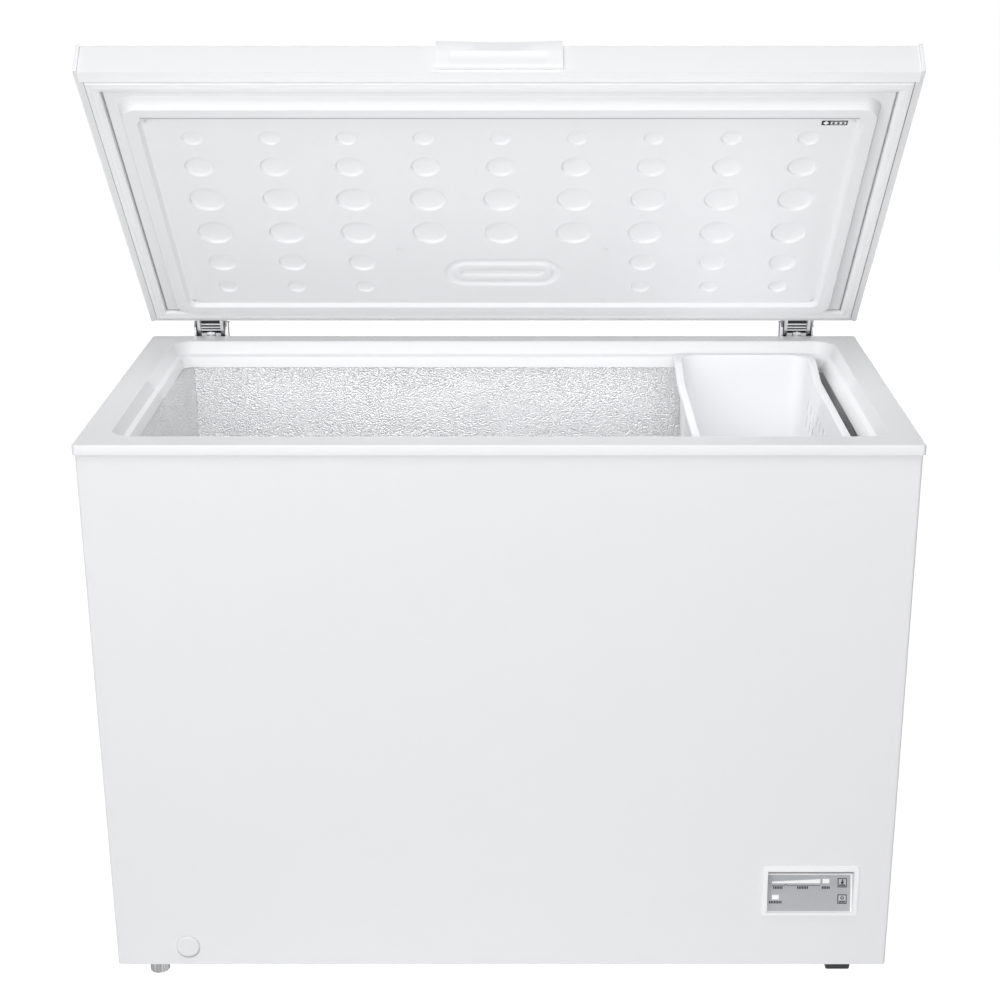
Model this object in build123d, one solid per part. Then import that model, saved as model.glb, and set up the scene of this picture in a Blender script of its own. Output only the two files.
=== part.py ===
from build123d import *
import math
import os

# Chest freezer with its lid propped open, as an assembly of separate pieces. Sizes are millimetres.
# While modelling, x runs to the viewer's right, y to the back and z up. The floor is z = 0 and the
# middle of the top rim is y = 0. The last section moves everything so that the middle of the whole
# depth, hinges included, is y = 0.

# Cabinet sizes
rim_width = 1100.0
rim_depth = 572.0
rim_height = 798.0
rim_skirt = 14.0
rim_wall = 2.5
rim_corner = 6.0
rim_edge_cut = 1.5
overhang_side = 3.0
overhang_front = 4.0
land_side = 40.0
land_front = 40.0
land_rear = 30.0
mouth_corner = 30.0
collar_drop = 20.0
collar_draft = 6.0
ledge_width = 6.0
lip_drop = 18.0
lip_draft = 3.0
foot_height = 22.0
sheet = 1.2
shell_corner = 4.0
liner_sheet = 1.0
liner_setback = 1.5
floor_insulation = 56.0
step_length = 228.0
step_height = 265.0

# Machine bay under the step, and what stands in it
bay_wall = 46.0
bay_roof = 46.0
bulkhead_sheet = 1.0
tray_sheet = 2.0
tray_depth = 210.0
tray_rear_gap = 60.0
tray_edge = 12.0
can_radius = 76.0
can_height = 165.0
can_shoulder = 0.72
leg_thickness = 3.0
leg_length = 176.0
leg_width = 120.0
leg_hole_inset = 14.0
grommet_radius = 11.0
grommet_height = 14.0
bolt_head = 8.0
bolt_head_height = 6.0
fit_clearance = 0.05
round_sides = 16
pipe_radius = 4.0
drier_radius = 9.5
drier_length = 110.0
capillary_radius = 2.0
capillary_length = 24.0
terminal_width = 62.0
terminal_depth = 34.0
terminal_height = 78.0

# Refrigerant tubes bonded to the liner and to the outer sheet
evaporator_depth = 5.0
evaporator_height = 8.0
condenser_depth = 5.0
condenser_height = 6.0
coil_levels = 4
coil_level_height = 90.0
coil_top_gap = 70.0
coil_margin = 15.0
coil_gap = 60.0

# Covers of the machine bay
rear_cover_margin = 8.0
rear_opening_inset = 18.0
louvre_rows = 7
louvre_width = 70.0
louvre_height = 7.0
louvre_depth = 4.0
grille_length = 300.0
grille_height = 190.0
grille_low = 40.0
grille_face = 3.0
grille_border = 12.0
grille_vanes = 9
grille_vane = 5.0
grille_depth = 8.0
gland_radius = 11.0
gland_bore = 4.0
gland_flange = 3.0

# Control panel
panel_right = 46.0
panel_low = 81.2
bezel_width = 134.0
bezel_height = 76.8
bezel_proud = 2.5
bezel_corner = 4.0
window_width = 121.0
window_height = 66.3
window_low = 4.1
bezel_wall = 2.0
fascia_thickness = 1.0
fascia_length = 52.5
fascia_foot_depth = 3.0
fascia_head_depth = 16.5
fascia_side_gap = 2.0
key_width = 12.5
key_length = 13.0
key_proud = 0.6
key_gap = 0.3
key_travel = 1.0
key_column = 47.0
key_rows = (41.0, 17.4)
lamp_left = -52.0
lamp_size = 9.6
lamp_length = 6.5
lamp_row = 20.0
scale_length = 68.0
scale_thin = 2.6
scale_thick = 6.2
scale_row = 40.0
scale_lamp_gap = 3.2
board_gap = 6.0
board_thickness = 1.6
board_margin = 5.0
boss_width = 5.0

# Drain and feet
drain_inset = 101.5
drain_height = 52.5
drain_setback = 50.0
drain_wall = 3.0
drain_bore = 6.0
cap_radius = 16.5
cap_thickness = 3.5
cap_stem = 14.0
cap_gap = 0.3
stopper_radius = 14.0
stopper_thickness = 3.5
stopper_knob = 5.0
stopper_knob_height = 10.0
stopper_stem = 7.0
level_radius = 14.0
level_inset = 54.0
level_front = 11.0
level_grooves = 12
level_groove = 1.0
stud_radius = 4.0
stud_length = 14.0
foot_top = 36.0
foot_bottom = 30.0
foot_inset = 65.0
foot_front = 20.0

# Lid, drawn closed
lid_angle = 47.04
lid_gap = 4.0
lid_thickness = 45.0
lid_overhang = 2.0
lid_edge_round = 6.0
cap_width = 5.0
cap_proud = 2.0
front_flange = 17.5
rear_flange = 7.5
side_flange = 4.5
liner_flange = 2.5
plug_drop = 18.2
plug_clearance = 6.0
plug_draft = 6.0
plug_corner = 24.0
plug_edge_cut = 2.0
recess_border = 19.5
recess_depth = 6.0
recess_draft = 4.0
recess_corner = 14.0
liner_wall = 2.5
dimple_columns = 9
dimple_margin_x = 61.0
dimple_margin_y = 28.0
dimple_small = 27.0
dimple_middle = 39.0
dimple_large = 49.0
dimple_slope = 0.13
dimple_floor = 0.45
dimple_sides = 8
dimple_panel = 6.5
slot_length = 173.0
slot_width = 67.0
slot_groove = 13.0
slot_island = 13.5
slot_depth = 3.0
slot_rear = 77.0
slot_columns = 1
gasket_width = 22.0
gasket_step = 2.0
gasket_foot = 2.6
gasket_gap = 0.3

# Handle
handle_width = 165.0
handle_proud = 5.0
handle_ridge = 33.5
handle_top = 5.0
handle_lean = 3.0
handle_lip = 22.0
handle_dip = 2.2
grip_width = 128.0
grip_low = 9.0
grip_height = 25.5
grip_depth = 17.0
grip_rise = 11.0
grip_wall = 2.0
grip_gap = 0.3

# Hinges
hinge_inset = 90.5
pivot_behind_rim = 25.2
pivot_above_rim = 19.3
pin_radius = 3.0
pin_end = 2.5
bracket_width = 51.0
bracket_plate = 3.0
bracket_drop = 158.0
bracket_behind = 15.0
bracket_nose = 11.0
bracket_flange = 13.0
bracket_flange_height = 130.0
bracket_rim_gap = 5.0
leaf_width = 37.0
leaf_plate = 3.0
leaf_web = 2.5
leaf_margin = 4.0
leaf_eye = 9.0
rod_radius = 2.6
cam_base = 12.0
cam_drop = 24.0
cam_width = 8.0
cam_gap = 0.3
lid_most_open = 75.0
plunger_neck = 12.0
plunger_depth = 22.0
plunger_foot = 20.0
plunger_height = 60.0
slide_gap = 0.3
spring_radius = 10.0
screw_head = 5.0
screw_head_height = 2.5

# Basket
basket_right_gap = 31.0
basket_width = 217.5
basket_rise = 3.0
basket_gap = 0.3
basket_end_gap = 1.5
basket_height = 205.0
basket_wall = 2.5
basket_corner = 24.0
basket_corner_steps = 4
basket_taper = 7.0
basket_rim = 9.0
basket_rim_height = 6.0
basket_scoop = 23.0
basket_scoop_run = 72.0
basket_scoop_end = 30.0
basket_body_gap = 3.0

# Values that follow from the driving sizes
shell_x = rim_width / 2 - overhang_side
shell_y = rim_depth / 2 - overhang_front
inner_x = shell_x - sheet
inner_y = shell_y - sheet
sheet_top = rim_height - rim_wall
base_top = foot_height + sheet
mouth_x = rim_width / 2 - land_side
mouth_front = land_front - rim_depth / 2
mouth_rear = rim_depth / 2 - land_rear
mouth_middle = (mouth_front + mouth_rear) / 2
mouth_y = (mouth_rear - mouth_front) / 2
ledge_z = rim_height - collar_drop
lip_z = ledge_z - lip_drop
ledge_inset = collar_draft + ledge_width
lip_inset = ledge_inset + lip_draft
liner_inset = lip_inset - liner_setback
liner_outset = liner_inset - liner_sheet
liner_x = mouth_x - liner_inset
floor_z = base_top + floor_insulation + liner_sheet
step_x = liner_x - step_length
step_z = floor_z + step_height
bay_x = step_x + liner_sheet + bay_wall + bulkhead_sheet
bay_z = step_z - liner_sheet - bay_roof - bulkhead_sheet
bay_middle = (bay_x + inner_x) / 2
coil_high = lip_z - coil_top_gap
pivot_y = rim_depth / 2 + pivot_behind_rim
pivot_z = rim_height + pivot_above_rim
lid_y = rim_depth / 2 + lid_overhang
lid_low = rim_height + lid_gap
lid_high = lid_low + lid_thickness
lid_x = rim_width / 2 - cap_width
seat_z = lid_low + sheet
bracket_back = pivot_y + bracket_behind
hinge_x = rim_width / 2 - hinge_inset
drain_x = drain_inset - shell_x
basket_left = mouth_x - basket_right_gap - basket_width


def block(x0, x1, y0, y1, z0, z1):
    """A box given by its two corners."""
    return Pos((x0 + x1) / 2, (y0 + y1) / 2, (z0 + z1) / 2) * Box(x1 - x0, y1 - y0, z1 - z0)


def rounded(half_x, half_y, middle_y, radius, z):
    """A rounded rectangle lying flat at height z."""
    return Plane.XY.offset(z) * Pos(0, middle_y) * RectangleRounded(2 * half_x, 2 * half_y, radius)


def mouth(inset, z):
    """The cabinet's mouth, drawn in by an inset, at height z."""
    return rounded(mouth_x - inset, mouth_y - inset, mouth_middle, mouth_corner - inset, z)


def side_profile(points, x0, x1):
    """A polygon of (y, z) points, drawn out along x."""
    face = make_face(Polyline(*[(y, z) for y, z in points], close=True))
    return extrude(Plane.YZ.offset(x0) * face, x1 - x0)


def prism_x(y, z, x0, x1, radius, sides):
    """A prism along x with a regular outline."""
    return extrude(Plane.YZ.offset(x0) * Pos(y, z) * RegularPolygon(radius, sides), x1 - x0)


def prism_y(x, z, y0, y1, radius, sides):
    """A prism along y with a regular outline."""
    return extrude(Plane.XZ.offset(-y0) * Pos(x, z) * RegularPolygon(radius, sides), y0 - y1)


def prism_z(x, y, z0, z1, radius, sides):
    """An upright prism with a regular outline."""
    return extrude(Plane.XY.offset(z0) * Pos(x, y) * RegularPolygon(radius, sides), z1 - z0)


def ring_plan(half_x, half_y, middle_y, cut, z):
    """A rectangle with its corners cut off straight, lying flat at height z."""
    corners = Rectangle(2 * half_x, 2 * half_y)
    if cut:
        corners = chamfer(corners.vertices(), cut)
    return Plane.XY.offset(z) * Pos(0, middle_y) * corners


def inside_skin(z0, z1):
    """All the room inside the painted wrap and the back sheet, between two heights."""
    tail = 4 * shell_corner
    plan = rounded(inner_x, inner_y + tail / 2, tail / 2, shell_corner - sheet, z0)
    return extrude(plan, z1 - z0) - block(-rim_width, rim_width, inner_y, rim_depth, 0, 2 * rim_height)


# Cabinet

def throat_outside():
    """The back of the collar, from the rim down to the liner."""
    collar = [mouth(-rim_wall, rim_height), mouth(collar_draft - rim_wall, ledge_z - rim_wall)]
    lip = [mouth(ledge_inset - rim_wall, ledge_z), mouth(lip_inset - rim_wall, lip_z)]
    return loft(collar, ruled=True) + loft(lip, ruled=True)


def top_frame():
    """Moulded rim: skirt, flat land, sloped collar, basket ledge and a lip over the liner."""
    band = extrude(rounded(rim_width / 2, rim_depth / 2, 0, rim_corner, rim_height - rim_skirt), rim_skirt)
    band = chamfer(band.edges().filter_by(Plane.XY).group_by(Axis.Z)[-1], rim_edge_cut)
    hollow_x = rim_width / 2 - rim_wall
    hollow_y = rim_depth / 2 - rim_wall
    hollow = ring_plan(hollow_x, hollow_y, 0, 0, rim_height - rim_skirt)
    band -= extrude(hollow, rim_skirt - rim_wall)
    frame = band + throat_outside()
    frame -= loft([mouth(0, rim_height), mouth(collar_draft, ledge_z)], ruled=True)
    return frame - loft([mouth(ledge_inset, ledge_z), mouth(lip_inset, lip_z)], ruled=True)


def liner_outside(rise=0.0):
    """The tub's outer form with its step, raised by an amount at the top."""
    tub = extrude(mouth(liner_outset, floor_z - liner_sheet), lip_z + rise - floor_z + liner_sheet)
    step = block(step_x + liner_sheet, shell_x, -shell_y, shell_y, 0, step_z - liner_sheet)
    return tub - step


def inner_liner():
    """Thin metal tub with a step over the machine bay and a drain hole in its floor."""
    inside = extrude(mouth(liner_inset, floor_z), lip_z - floor_z)
    inside -= block(step_x, shell_x, -shell_y, shell_y, 0, step_z)
    tub = liner_outside() - inside
    hole_ends = (floor_z - 2 * liner_sheet, floor_z + liner_sheet)
    return tub - prism_z(drain_x, drain_y, *hole_ends, drain_bore, round_sides)


def outer_shell():
    """Painted steel wrap: front and both sides from one sheet."""
    tail = 4 * shell_corner
    height = sheet_top - foot_height
    middle = tail / 2
    skin = extrude(rounded(shell_x, shell_y + middle, middle, shell_corner, foot_height), height)
    hollow = rounded(inner_x, inner_y + middle, middle, shell_corner - sheet, foot_height)
    skin -= extrude(hollow, height)
    skin -= block(-rim_width, rim_width, shell_y, rim_depth, 0, rim_height)
    skin -= block(*panel_hole_x, -rim_depth, -inner_y + sheet, *panel_hole_z)
    skin -= drain_outside()
    skin -= block(inner_x - sheet, rim_width, *grille_hole_y, *grille_hole_z)
    return skin


def rear_panel():
    """Flat back sheet with the machine bay's opening."""
    panel = block(-inner_x, inner_x, inner_y, shell_y, foot_height, sheet_top)
    return panel - block(*rear_opening_x, inner_y - sheet, shell_y + sheet, *rear_opening_z)


def base_pan():
    """Bottom sheet with square holes for the levelling studs."""
    pan = inside_skin(foot_height, base_top)
    room = stud_radius + slide_gap
    for x, y in level_places:
        pan -= block(x - room, x + room, y - room, y + room, 0, 2 * foot_height)
    return pan


def cabinet_insulation():
    """Foam between the skins, with the bay, tubes, drain and studs left out."""
    foam = inside_skin(base_top, sheet_top)
    foam -= liner_outside(rim_height)
    foam -= throat_outside()
    foam -= block(bay_x - bulkhead_sheet, rim_width, -rim_depth, rim_depth, 0, bay_z + bulkhead_sheet)
    band_low = coil_high - (coil_levels - 1) * coil_level_height - coil_margin
    band_height = (coil_levels - 1) * coil_level_height + evaporator_height + 2 * coil_margin
    foam -= extrude(evaporator_plan(evaporator_depth, band_low), band_height)
    skin_band = extrude(ring_plan(rim_width, rim_depth, 0, 0, band_low), band_height)
    foam -= skin_band - extrude(condenser_plan(condenser_depth, band_low), band_height)
    foam -= drain_outside()
    for x, y in level_places:
        stud_room = stud_radius + drain_wall
        foam -= block(
            x - stud_room, x + stud_room, y - stud_room, y + stud_room,
            foot_height, base_top + stud_length + drain_wall,
        )
    return foam


def evaporator_plan(outset, z):
    """Outline of the tub's outside, spread by an outset."""
    spread = outset - liner_outset
    return ring_plan(mouth_x + spread, mouth_y + spread, mouth_middle, 0, z)


def condenser_plan(inset, z):
    """Outline of the sheet metal's inside, drawn in by an inset."""
    return ring_plan(inner_x - inset, inner_y - inset, 0, shell_corner, z)


def serpentine(outside, inside, back_low, back_high, height):
    """One flat tube that goes round the box, turns back at the rear and climbs a level each time."""
    coil = None
    for level in range(coil_levels):
        z = coil_high - level * coil_level_height
        ring = extrude(outside(z) - inside(z), height)
        ring -= block(-coil_gap / 2, coil_gap / 2, 0, rim_depth, z - height, z + 2 * height)
        coil = ring if coil is None else coil + ring
        if level:
            side = 1 if level % 2 else -1
            near = side * coil_gap / 2
            far = side * (coil_gap / 2 + height)
            span = (min(near, far), max(near, far))
            coil += block(*span, back_low, back_high, z, z + coil_level_height + height)
    return coil


def evaporator_coil():
    """Cold tube wound round the liner."""
    rear = mouth_rear - liner_outset
    return serpentine(
        lambda z: evaporator_plan(evaporator_depth, z),
        lambda z: evaporator_plan(0, z),
        rear,
        rear + evaporator_depth,
        evaporator_height,
    )


def condenser_coil():
    """Warm tube bonded inside the outer sheet."""
    return serpentine(
        lambda z: condenser_plan(0, z),
        lambda z: condenser_plan(condenser_depth, z),
        inner_y - condenser_depth,
        inner_y,
        condenser_height,
    )


# Machine bay

def bay_bulkhead():
    """Folded sheet that parts the bay from the foam."""
    wall = block(bay_x - bulkhead_sheet, bay_x, -inner_y, inner_y, base_top, bay_z)
    roof = block(bay_x - bulkhead_sheet, inner_x, -inner_y, inner_y, bay_z, bay_z + bulkhead_sheet)
    return (wall + roof) & inside_skin(base_top, bay_z + bulkhead_sheet)


def compressor_tray():
    """Folded tray that carries the compressor on the base."""
    tray = block(bay_x, inner_x, tray_front, tray_rear, base_top, base_top + tray_edge)
    inside = (tray_front + tray_sheet, tray_rear - tray_sheet)
    return tray - block(bay_x, inner_x, *inside, tray_top, base_top + 2 * tray_edge)


def compressor_grommets():
    """Rubber bushes under the compressor's legs."""
    top = tray_top + grommet_height
    return [prism_z(x, y, tray_top, top, grommet_radius, round_sides // 2) for x, y in leg_places]


def compressor_bolts():
    """Hexagon heads of the bolts that hold the legs down."""
    return [prism_z(x, y, leg_top, leg_top + bolt_head_height, bolt_head, 6) for x, y in leg_places]


def compressor():
    """Sealed can with a narrower crown on a plate with four legs."""
    shoulder = leg_top + can_shoulder * can_height
    can = prism_z(bay_middle, leg_y, leg_top, shoulder, can_radius, 2 * round_sides)
    can += prism_z(bay_middle, leg_y, shoulder, stub_top, can_shoulder * can_radius, 2 * round_sides)
    return can + block(
        bay_middle - leg_length / 2, bay_middle + leg_length / 2,
        leg_y - leg_width / 2, leg_y + leg_width / 2, leg_top - leg_thickness, leg_top,
    )


def terminal_cover():
    """Cover over the compressor's terminals and starter."""
    front = leg_y - can_radius
    box = block(
        bay_middle - terminal_width / 2, bay_middle + terminal_width / 2,
        front - terminal_depth, front, terminal_low, terminal_low + terminal_height,
    )
    return chamfer(box.edges().filter_by(Axis.Z).group_by(Axis.Y)[0], 4 * sheet)


def rising_pipe(x, y):
    """A pipe from a compressor stub to the bay's roof."""
    return prism_z(x, y, stub_top, bay_z, pipe_radius, round_sides)


def filter_drier():
    """Copper drier on its capillary, standing against the bulkhead."""
    x = bay_x + drier_radius
    y = leg_y - can_radius - drier_radius
    top = bay_z - capillary_length
    can = prism_z(x, y, top - drier_length, top, drier_radius, round_sides)
    return can + prism_z(x, y, top, bay_z, capillary_radius, round_sides)


def rear_cover():
    """Back cover of the bay with pressed louvres."""
    y0 = shell_y
    y1 = shell_y + sheet
    cover = block(*rear_cover_x, y0, y1, *rear_cover_z)
    span = rear_opening_z[1] - rear_opening_z[0]
    pitch = span / (louvre_rows + 1)
    middle = (rear_cover_x[0] + rear_cover_x[1]) / 2
    for row in range(louvre_rows):
        z = rear_opening_z[0] + pitch * (row + 1)
        for side in (-1, 1):
            x = middle + side * (louvre_width / 2 + louvre_height)
            ends = (x - louvre_width / 2, x + louvre_width / 2)
            hood = [
                (y1, z + louvre_height), (y1 + louvre_depth, z), (y1 + louvre_depth - sheet, z),
                (y1, z + louvre_height - 2 * sheet),
            ]
            cover -= block(*ends, y0 - sheet, y1 + sheet, z, z + louvre_height - 2 * sheet)
            cover += side_profile(hood, *ends)
    return cover - prism_y(gland_x, gland_z, y0 - sheet, y1 + sheet, gland_bore, round_sides)


def rear_screw(x, z, y_seat):
    """A hexagon screw head that faces the back."""
    return prism_y(x, z, y_seat, y_seat + screw_head_height, screw_head, 6)


def cord_gland():
    """Hexagon bush on the back cover where a supply lead would leave."""
    ends = (shell_y + sheet, shell_y + sheet + gland_flange)
    bush = prism_y(gland_x, gland_z, *ends, gland_radius, 6)
    return bush - prism_y(gland_x, gland_z, *ends, gland_bore, round_sides)


def side_grille():
    """Slatted panel that lets air into the bay, set in the right-hand side."""
    y0, y1 = grille_hole_y
    z0, z1 = grille_hole_z
    border_y = (y0 - grille_border, y1 + grille_border)
    border_z = (z0 - grille_border, z1 + grille_border)
    face = block(shell_x, shell_x + grille_face, *border_y, *border_z)
    face = fillet(face.edges().filter_by(Axis.X), grille_border / 2)
    face += block(shell_x - grille_depth, shell_x, y0, y1, z0, z1)
    wall = grille_face
    low, high = z0 + wall, z1 - wall
    face -= block(shell_x - 2 * grille_depth, shell_x + 2 * grille_face, y0 + wall, y1 - wall, low, high)
    pitch = (high - low) / grille_vanes
    for index in range(grille_vanes):
        z = low + pitch * (index + 0.25)
        slat = Polyline(
            (shell_x - grille_depth, z + pitch / 2),
            (shell_x + grille_face, z),
            (shell_x + grille_face, z + grille_vane / 2),
            (shell_x - grille_depth, z + pitch / 2 + grille_vane / 2),
            close=True,
        )
        face += extrude(Plane.XZ.offset(-y1 + wall) * make_face(slat), y1 - y0 - 2 * wall)
    return face


# Control panel

def recess_block(spread, x0, x1):
    """The panel's recess, grown by a spread: sill, tilted back that faces up, and brow."""
    outline = [
        (-shell_y - bezel_proud, window_z[0]),
        (-shell_y + fascia_foot_depth, window_z[0]),
        (-shell_y + fascia_head_depth, window_z[0] + fascia_rise),
        (-shell_y - bezel_proud, window_z[1]),
    ]
    face = make_face(Polyline(*outline, close=True))
    if spread:
        face = offset(face, spread, kind=Kind.INTERSECTION)
    return extrude(Plane.YZ.offset(x0) * face, x1 - x0)


def control_bezel():
    """Moulded frame with a deep recess whose back leans so that it faces up."""
    flange = block(*bezel_x, -shell_y - bezel_proud, -shell_y, *bezel_z)
    flange = fillet(flange.edges().filter_by(Axis.Y), bezel_corner)
    tunnel = recess_block(bezel_wall + fascia_thickness, window_x[0] - bezel_wall, window_x[1] + bezel_wall)
    tunnel -= block(0, rim_width, -rim_depth, -shell_y, 0, rim_height)
    bezel = flange + tunnel
    bezel -= recess_block(0, *window_x)
    bezel -= fascia_plane * Pos(0, fascia_length / 2, -fascia_thickness / 2) * Box(
        fascia_width, fascia_length, fascia_thickness
    )
    aperture = fascia_plane * Pos(0, fascia_length / 2, -fascia_thickness - bezel_wall)
    clear = 2 * board_margin
    bezel -= aperture * Box(fascia_width - clear, fascia_length - clear, 3 * bezel_wall)
    for side in (-1, 1):
        rib_x = side * (fascia_width - boss_width) / 2
        rib = fascia_plane * Pos(rib_x, fascia_length / 2, -fascia_thickness - bezel_wall - board_gap / 2)
        bezel += rib * Box(boss_width, fascia_length - boss_width, board_gap)
    return bezel


def scale_window(depth):
    """The wedge-shaped lamp window, thin at its left end."""
    right = lamp_left + scale_length
    wedge = Polyline(
        (lamp_left, scale_row), (right, scale_row), (right, scale_row + scale_thick),
        (lamp_left, scale_row + scale_thin), close=True,
    )
    return fascia_plane * Pos(0, 0, -depth) * extrude(make_face(wedge), depth)


def lamp_windows(depth):
    """The wedge and the two small oblong windows."""
    right = lamp_left + scale_length + scale_lamp_gap + lamp_size / 2
    small = Box(lamp_size, lamp_length, depth)
    return [
        scale_window(depth),
        fascia_plane * Pos(right, scale_row + lamp_length / 2, -depth / 2) * small,
        fascia_plane * Pos(lamp_left + lamp_size / 2, lamp_row, -depth / 2) * small,
    ]


def control_fascia():
    """Flat label plate with openings for the keys and lamps."""
    plate = fascia_plane * Pos(0, fascia_length / 2, -fascia_thickness / 2) * Box(
        fascia_width, fascia_length, fascia_thickness
    )
    for row in key_rows:
        plate -= fascia_plane * Pos(key_column, row) * Box(
            key_width + 2 * key_gap, key_length + 2 * key_gap, 4 * fascia_thickness
        )
    for window in lamp_windows(fascia_thickness):
        plate -= window
    return plate


def push_key(row):
    """A key cap on its stem, which stops short of the board by its travel."""
    cap_depth = fascia_thickness + key_proud
    cap = Pos(0, 0, key_proud - cap_depth / 2) * Box(key_width, key_length, cap_depth)
    cap = chamfer(cap.edges().group_by(Axis.Z)[-1], key_proud / 2)
    stem_end = -fascia_thickness - bezel_wall - board_gap + key_travel + key_gap
    stem_length = -stem_end - fascia_thickness
    stem = Pos(0, 0, (stem_end - fascia_thickness) / 2) * Box(boss_width, boss_width, stem_length)
    return fascia_plane * Pos(key_column, row) * (cap + stem)


def control_board():
    """Printed board on the bezel's two ribs."""
    front = -fascia_thickness - bezel_wall - board_gap
    return fascia_plane * Pos(0, fascia_length / 2, front - board_thickness / 2) * Box(
        fascia_width, fascia_length, board_thickness
    )


# Drain and feet

def drain_outside():
    """Outer form of the drain: a square elbow from the front to the tub's floor."""
    wide = drain_bore + drain_wall
    across = (drain_x - wide, drain_x + wide)
    run = block(*across, -shell_y, drain_y + wide, drain_height - wide, drain_height + wide)
    return run + block(*across, drain_y - wide, drain_y + wide, drain_height - wide, floor_z - liner_sheet)


def drain_tube():
    """Square elbow with a many-sided bore, mitred at its corner."""
    path = Polyline(*drain_path)
    start = Plane(path @ 0, z_dir=path % 0)
    bore = RegularPolygon(drain_bore, round_sides)
    return drain_outside() - sweep(start * bore, path, transition=Transition.RIGHT)


def drain_cap():
    """Round front cap with a stem in the drain."""
    back = -shell_y - cap_gap
    face = prism_y(drain_x, drain_height, back - cap_thickness, back, cap_radius, 2 * round_sides)
    return face + prism_y(drain_x, drain_height, back, back + cap_stem, drain_stem, round_sides)


def drain_stopper():
    """Plug that closes the drain from inside the tub."""
    low = floor_z + cap_gap
    top = low + stopper_thickness
    plug = prism_z(drain_x, drain_y, low, top, stopper_radius, 2 * round_sides)
    plug += prism_z(drain_x, drain_y, top, top + stopper_knob_height, stopper_knob, round_sides)
    return plug + prism_z(drain_x, drain_y, low - stopper_stem, low, drain_stem, round_sides)


def levelling_foot(x, y):
    """Round foot with finger grooves on a stud."""
    top = foot_height - cap_gap
    outline = []
    for index in range(2 * level_grooves):
        turn = math.pi * index / level_grooves
        reach = level_radius - level_groove * (index % 2)
        outline.append((x + reach * math.cos(turn), y + reach * math.sin(turn)))
    foot = extrude(make_face(Polyline(*outline, close=True)), top)
    return foot + prism_z(x, y, top, base_top + stud_length, stud_radius, round_sides)


def right_feet():
    """Two moulded block feet that narrow downwards."""
    feet = []
    for x, y in block_foot_places:
        plan = Rectangle(foot_top, foot_top)
        plan = chamfer(plan.vertices(), foot_top / 8)
        draft = math.degrees(math.atan((foot_top - foot_bottom) / 2 / foot_height))
        feet.append(Pos(x, y, foot_height) * Rot(X=180) * extrude(plan, foot_height, taper=draft))
    return feet


# Lid, drawn closed and then swung open

def lid_skin():
    """Steel top that wraps down over the front and back and turns under."""
    outside = Rectangle(2 * lid_y, lid_thickness)
    outside = fillet(outside.vertices().group_by(Axis.Y)[-1], lid_edge_round)
    hollow = Rectangle(2 * (lid_y - sheet), lid_thickness - 2 * sheet)
    hollow = fillet(hollow.vertices().group_by(Axis.Y)[-1], lid_edge_round - sheet)
    skin = Plane.YZ.offset(-lid_x) * Pos(0, lid_low + lid_thickness / 2) * (outside - hollow)
    skin = extrude(skin, 2 * lid_x)
    skin -= block(-rim_width, rim_width, front_flange - lid_y, lid_y - rear_flange, lid_low - sheet, seat_z)
    skin -= block(*grip_hole_x, -lid_y - sheet, sheet - lid_y + sheet, *grip_hole_z)
    return skin


def lid_end_cap(side):
    """Moulded end of the lid, standing a little proud of the steel."""
    middle = lid_low + (lid_thickness + cap_proud) / 2
    plate = Rectangle(2 * (lid_y + cap_proud), lid_thickness + cap_proud)
    plate = fillet(plate.vertices().group_by(Axis.Y)[-1], lid_edge_round + cap_proud)
    cap = extrude(Plane.YZ.offset(lid_x) * Pos(0, middle) * plate, cap_width)
    flange = block(lid_x - side_flange, lid_x, front_flange - lid_y, lid_y - rear_flange, lid_low, seat_z)
    cap += flange
    return cap if side > 0 else mirror(cap, Plane.YZ)


def plug_plan(inset, z):
    """The lid liner's plug, drawn in by an inset."""
    half_x = mouth_x - plug_clearance - inset
    half_y = mouth_y - plug_clearance - inset
    return rounded(half_x, half_y, mouth_middle, plug_corner - inset, z)


def recess_plan(inset, z):
    """The shallow recess in the plug's face."""
    half_x = mouth_x - plug_clearance - plug_draft - recess_border - inset
    half_y = mouth_y - plug_clearance - plug_draft - recess_border - inset
    return rounded(half_x, half_y, mouth_middle, recess_corner - inset, z)


def dimple_places():
    """Centre, diameter and column of every dimple in the recess."""
    sizes = (dimple_small, dimple_middle, dimple_large, dimple_large, dimple_middle, dimple_small)
    half_x = mouth_x - plug_clearance - plug_draft - recess_border - recess_draft
    half_y = mouth_y - plug_clearance - plug_draft - recess_border - recess_draft
    pitch = 2 * (half_x - dimple_margin_x) / (dimple_columns - 1)
    free = 2 * (half_y - dimple_margin_y) - sum(sizes)
    gap = free / (len(sizes) - 1)
    places = []
    y = mouth_middle - half_y + dimple_margin_y
    for row, size in enumerate(sizes):
        y += size / 2
        for column in range(dimple_columns):
            from_middle = column - (dimple_columns - 1) / 2
            beside_slot = row >= len(sizes) - 2 and abs(from_middle) <= slot_columns
            if not beside_slot:
                places.append((from_middle * pitch, y, size))
        y += size / 2 + gap
    return places


def dimple(x, y, size):
    """A shallow many-sided dish with a flat floor."""
    depth = dimple_slope * size / 2
    run = (1 - dimple_floor) * size / 2 * math.cos(math.pi / dimple_sides)
    lean = math.degrees(math.atan(run / depth))
    return Pos(x, y, panel_z) * extrude(RegularPolygon(size / 2, dimple_sides), depth, taper=lean)


def back_pocket():
    """The hollow behind the plug, which the lid's foam fills."""
    top = seat_z + liner_flange
    ends = [plug_plan(liner_wall, top), plug_plan(plug_draft + liner_wall, plug_z + liner_wall)]
    pocket = loft(ends, ruled=True)
    island = recess_plan(-liner_wall, plug_z)
    return pocket - extrude(island, panel_back - plug_z)


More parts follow.
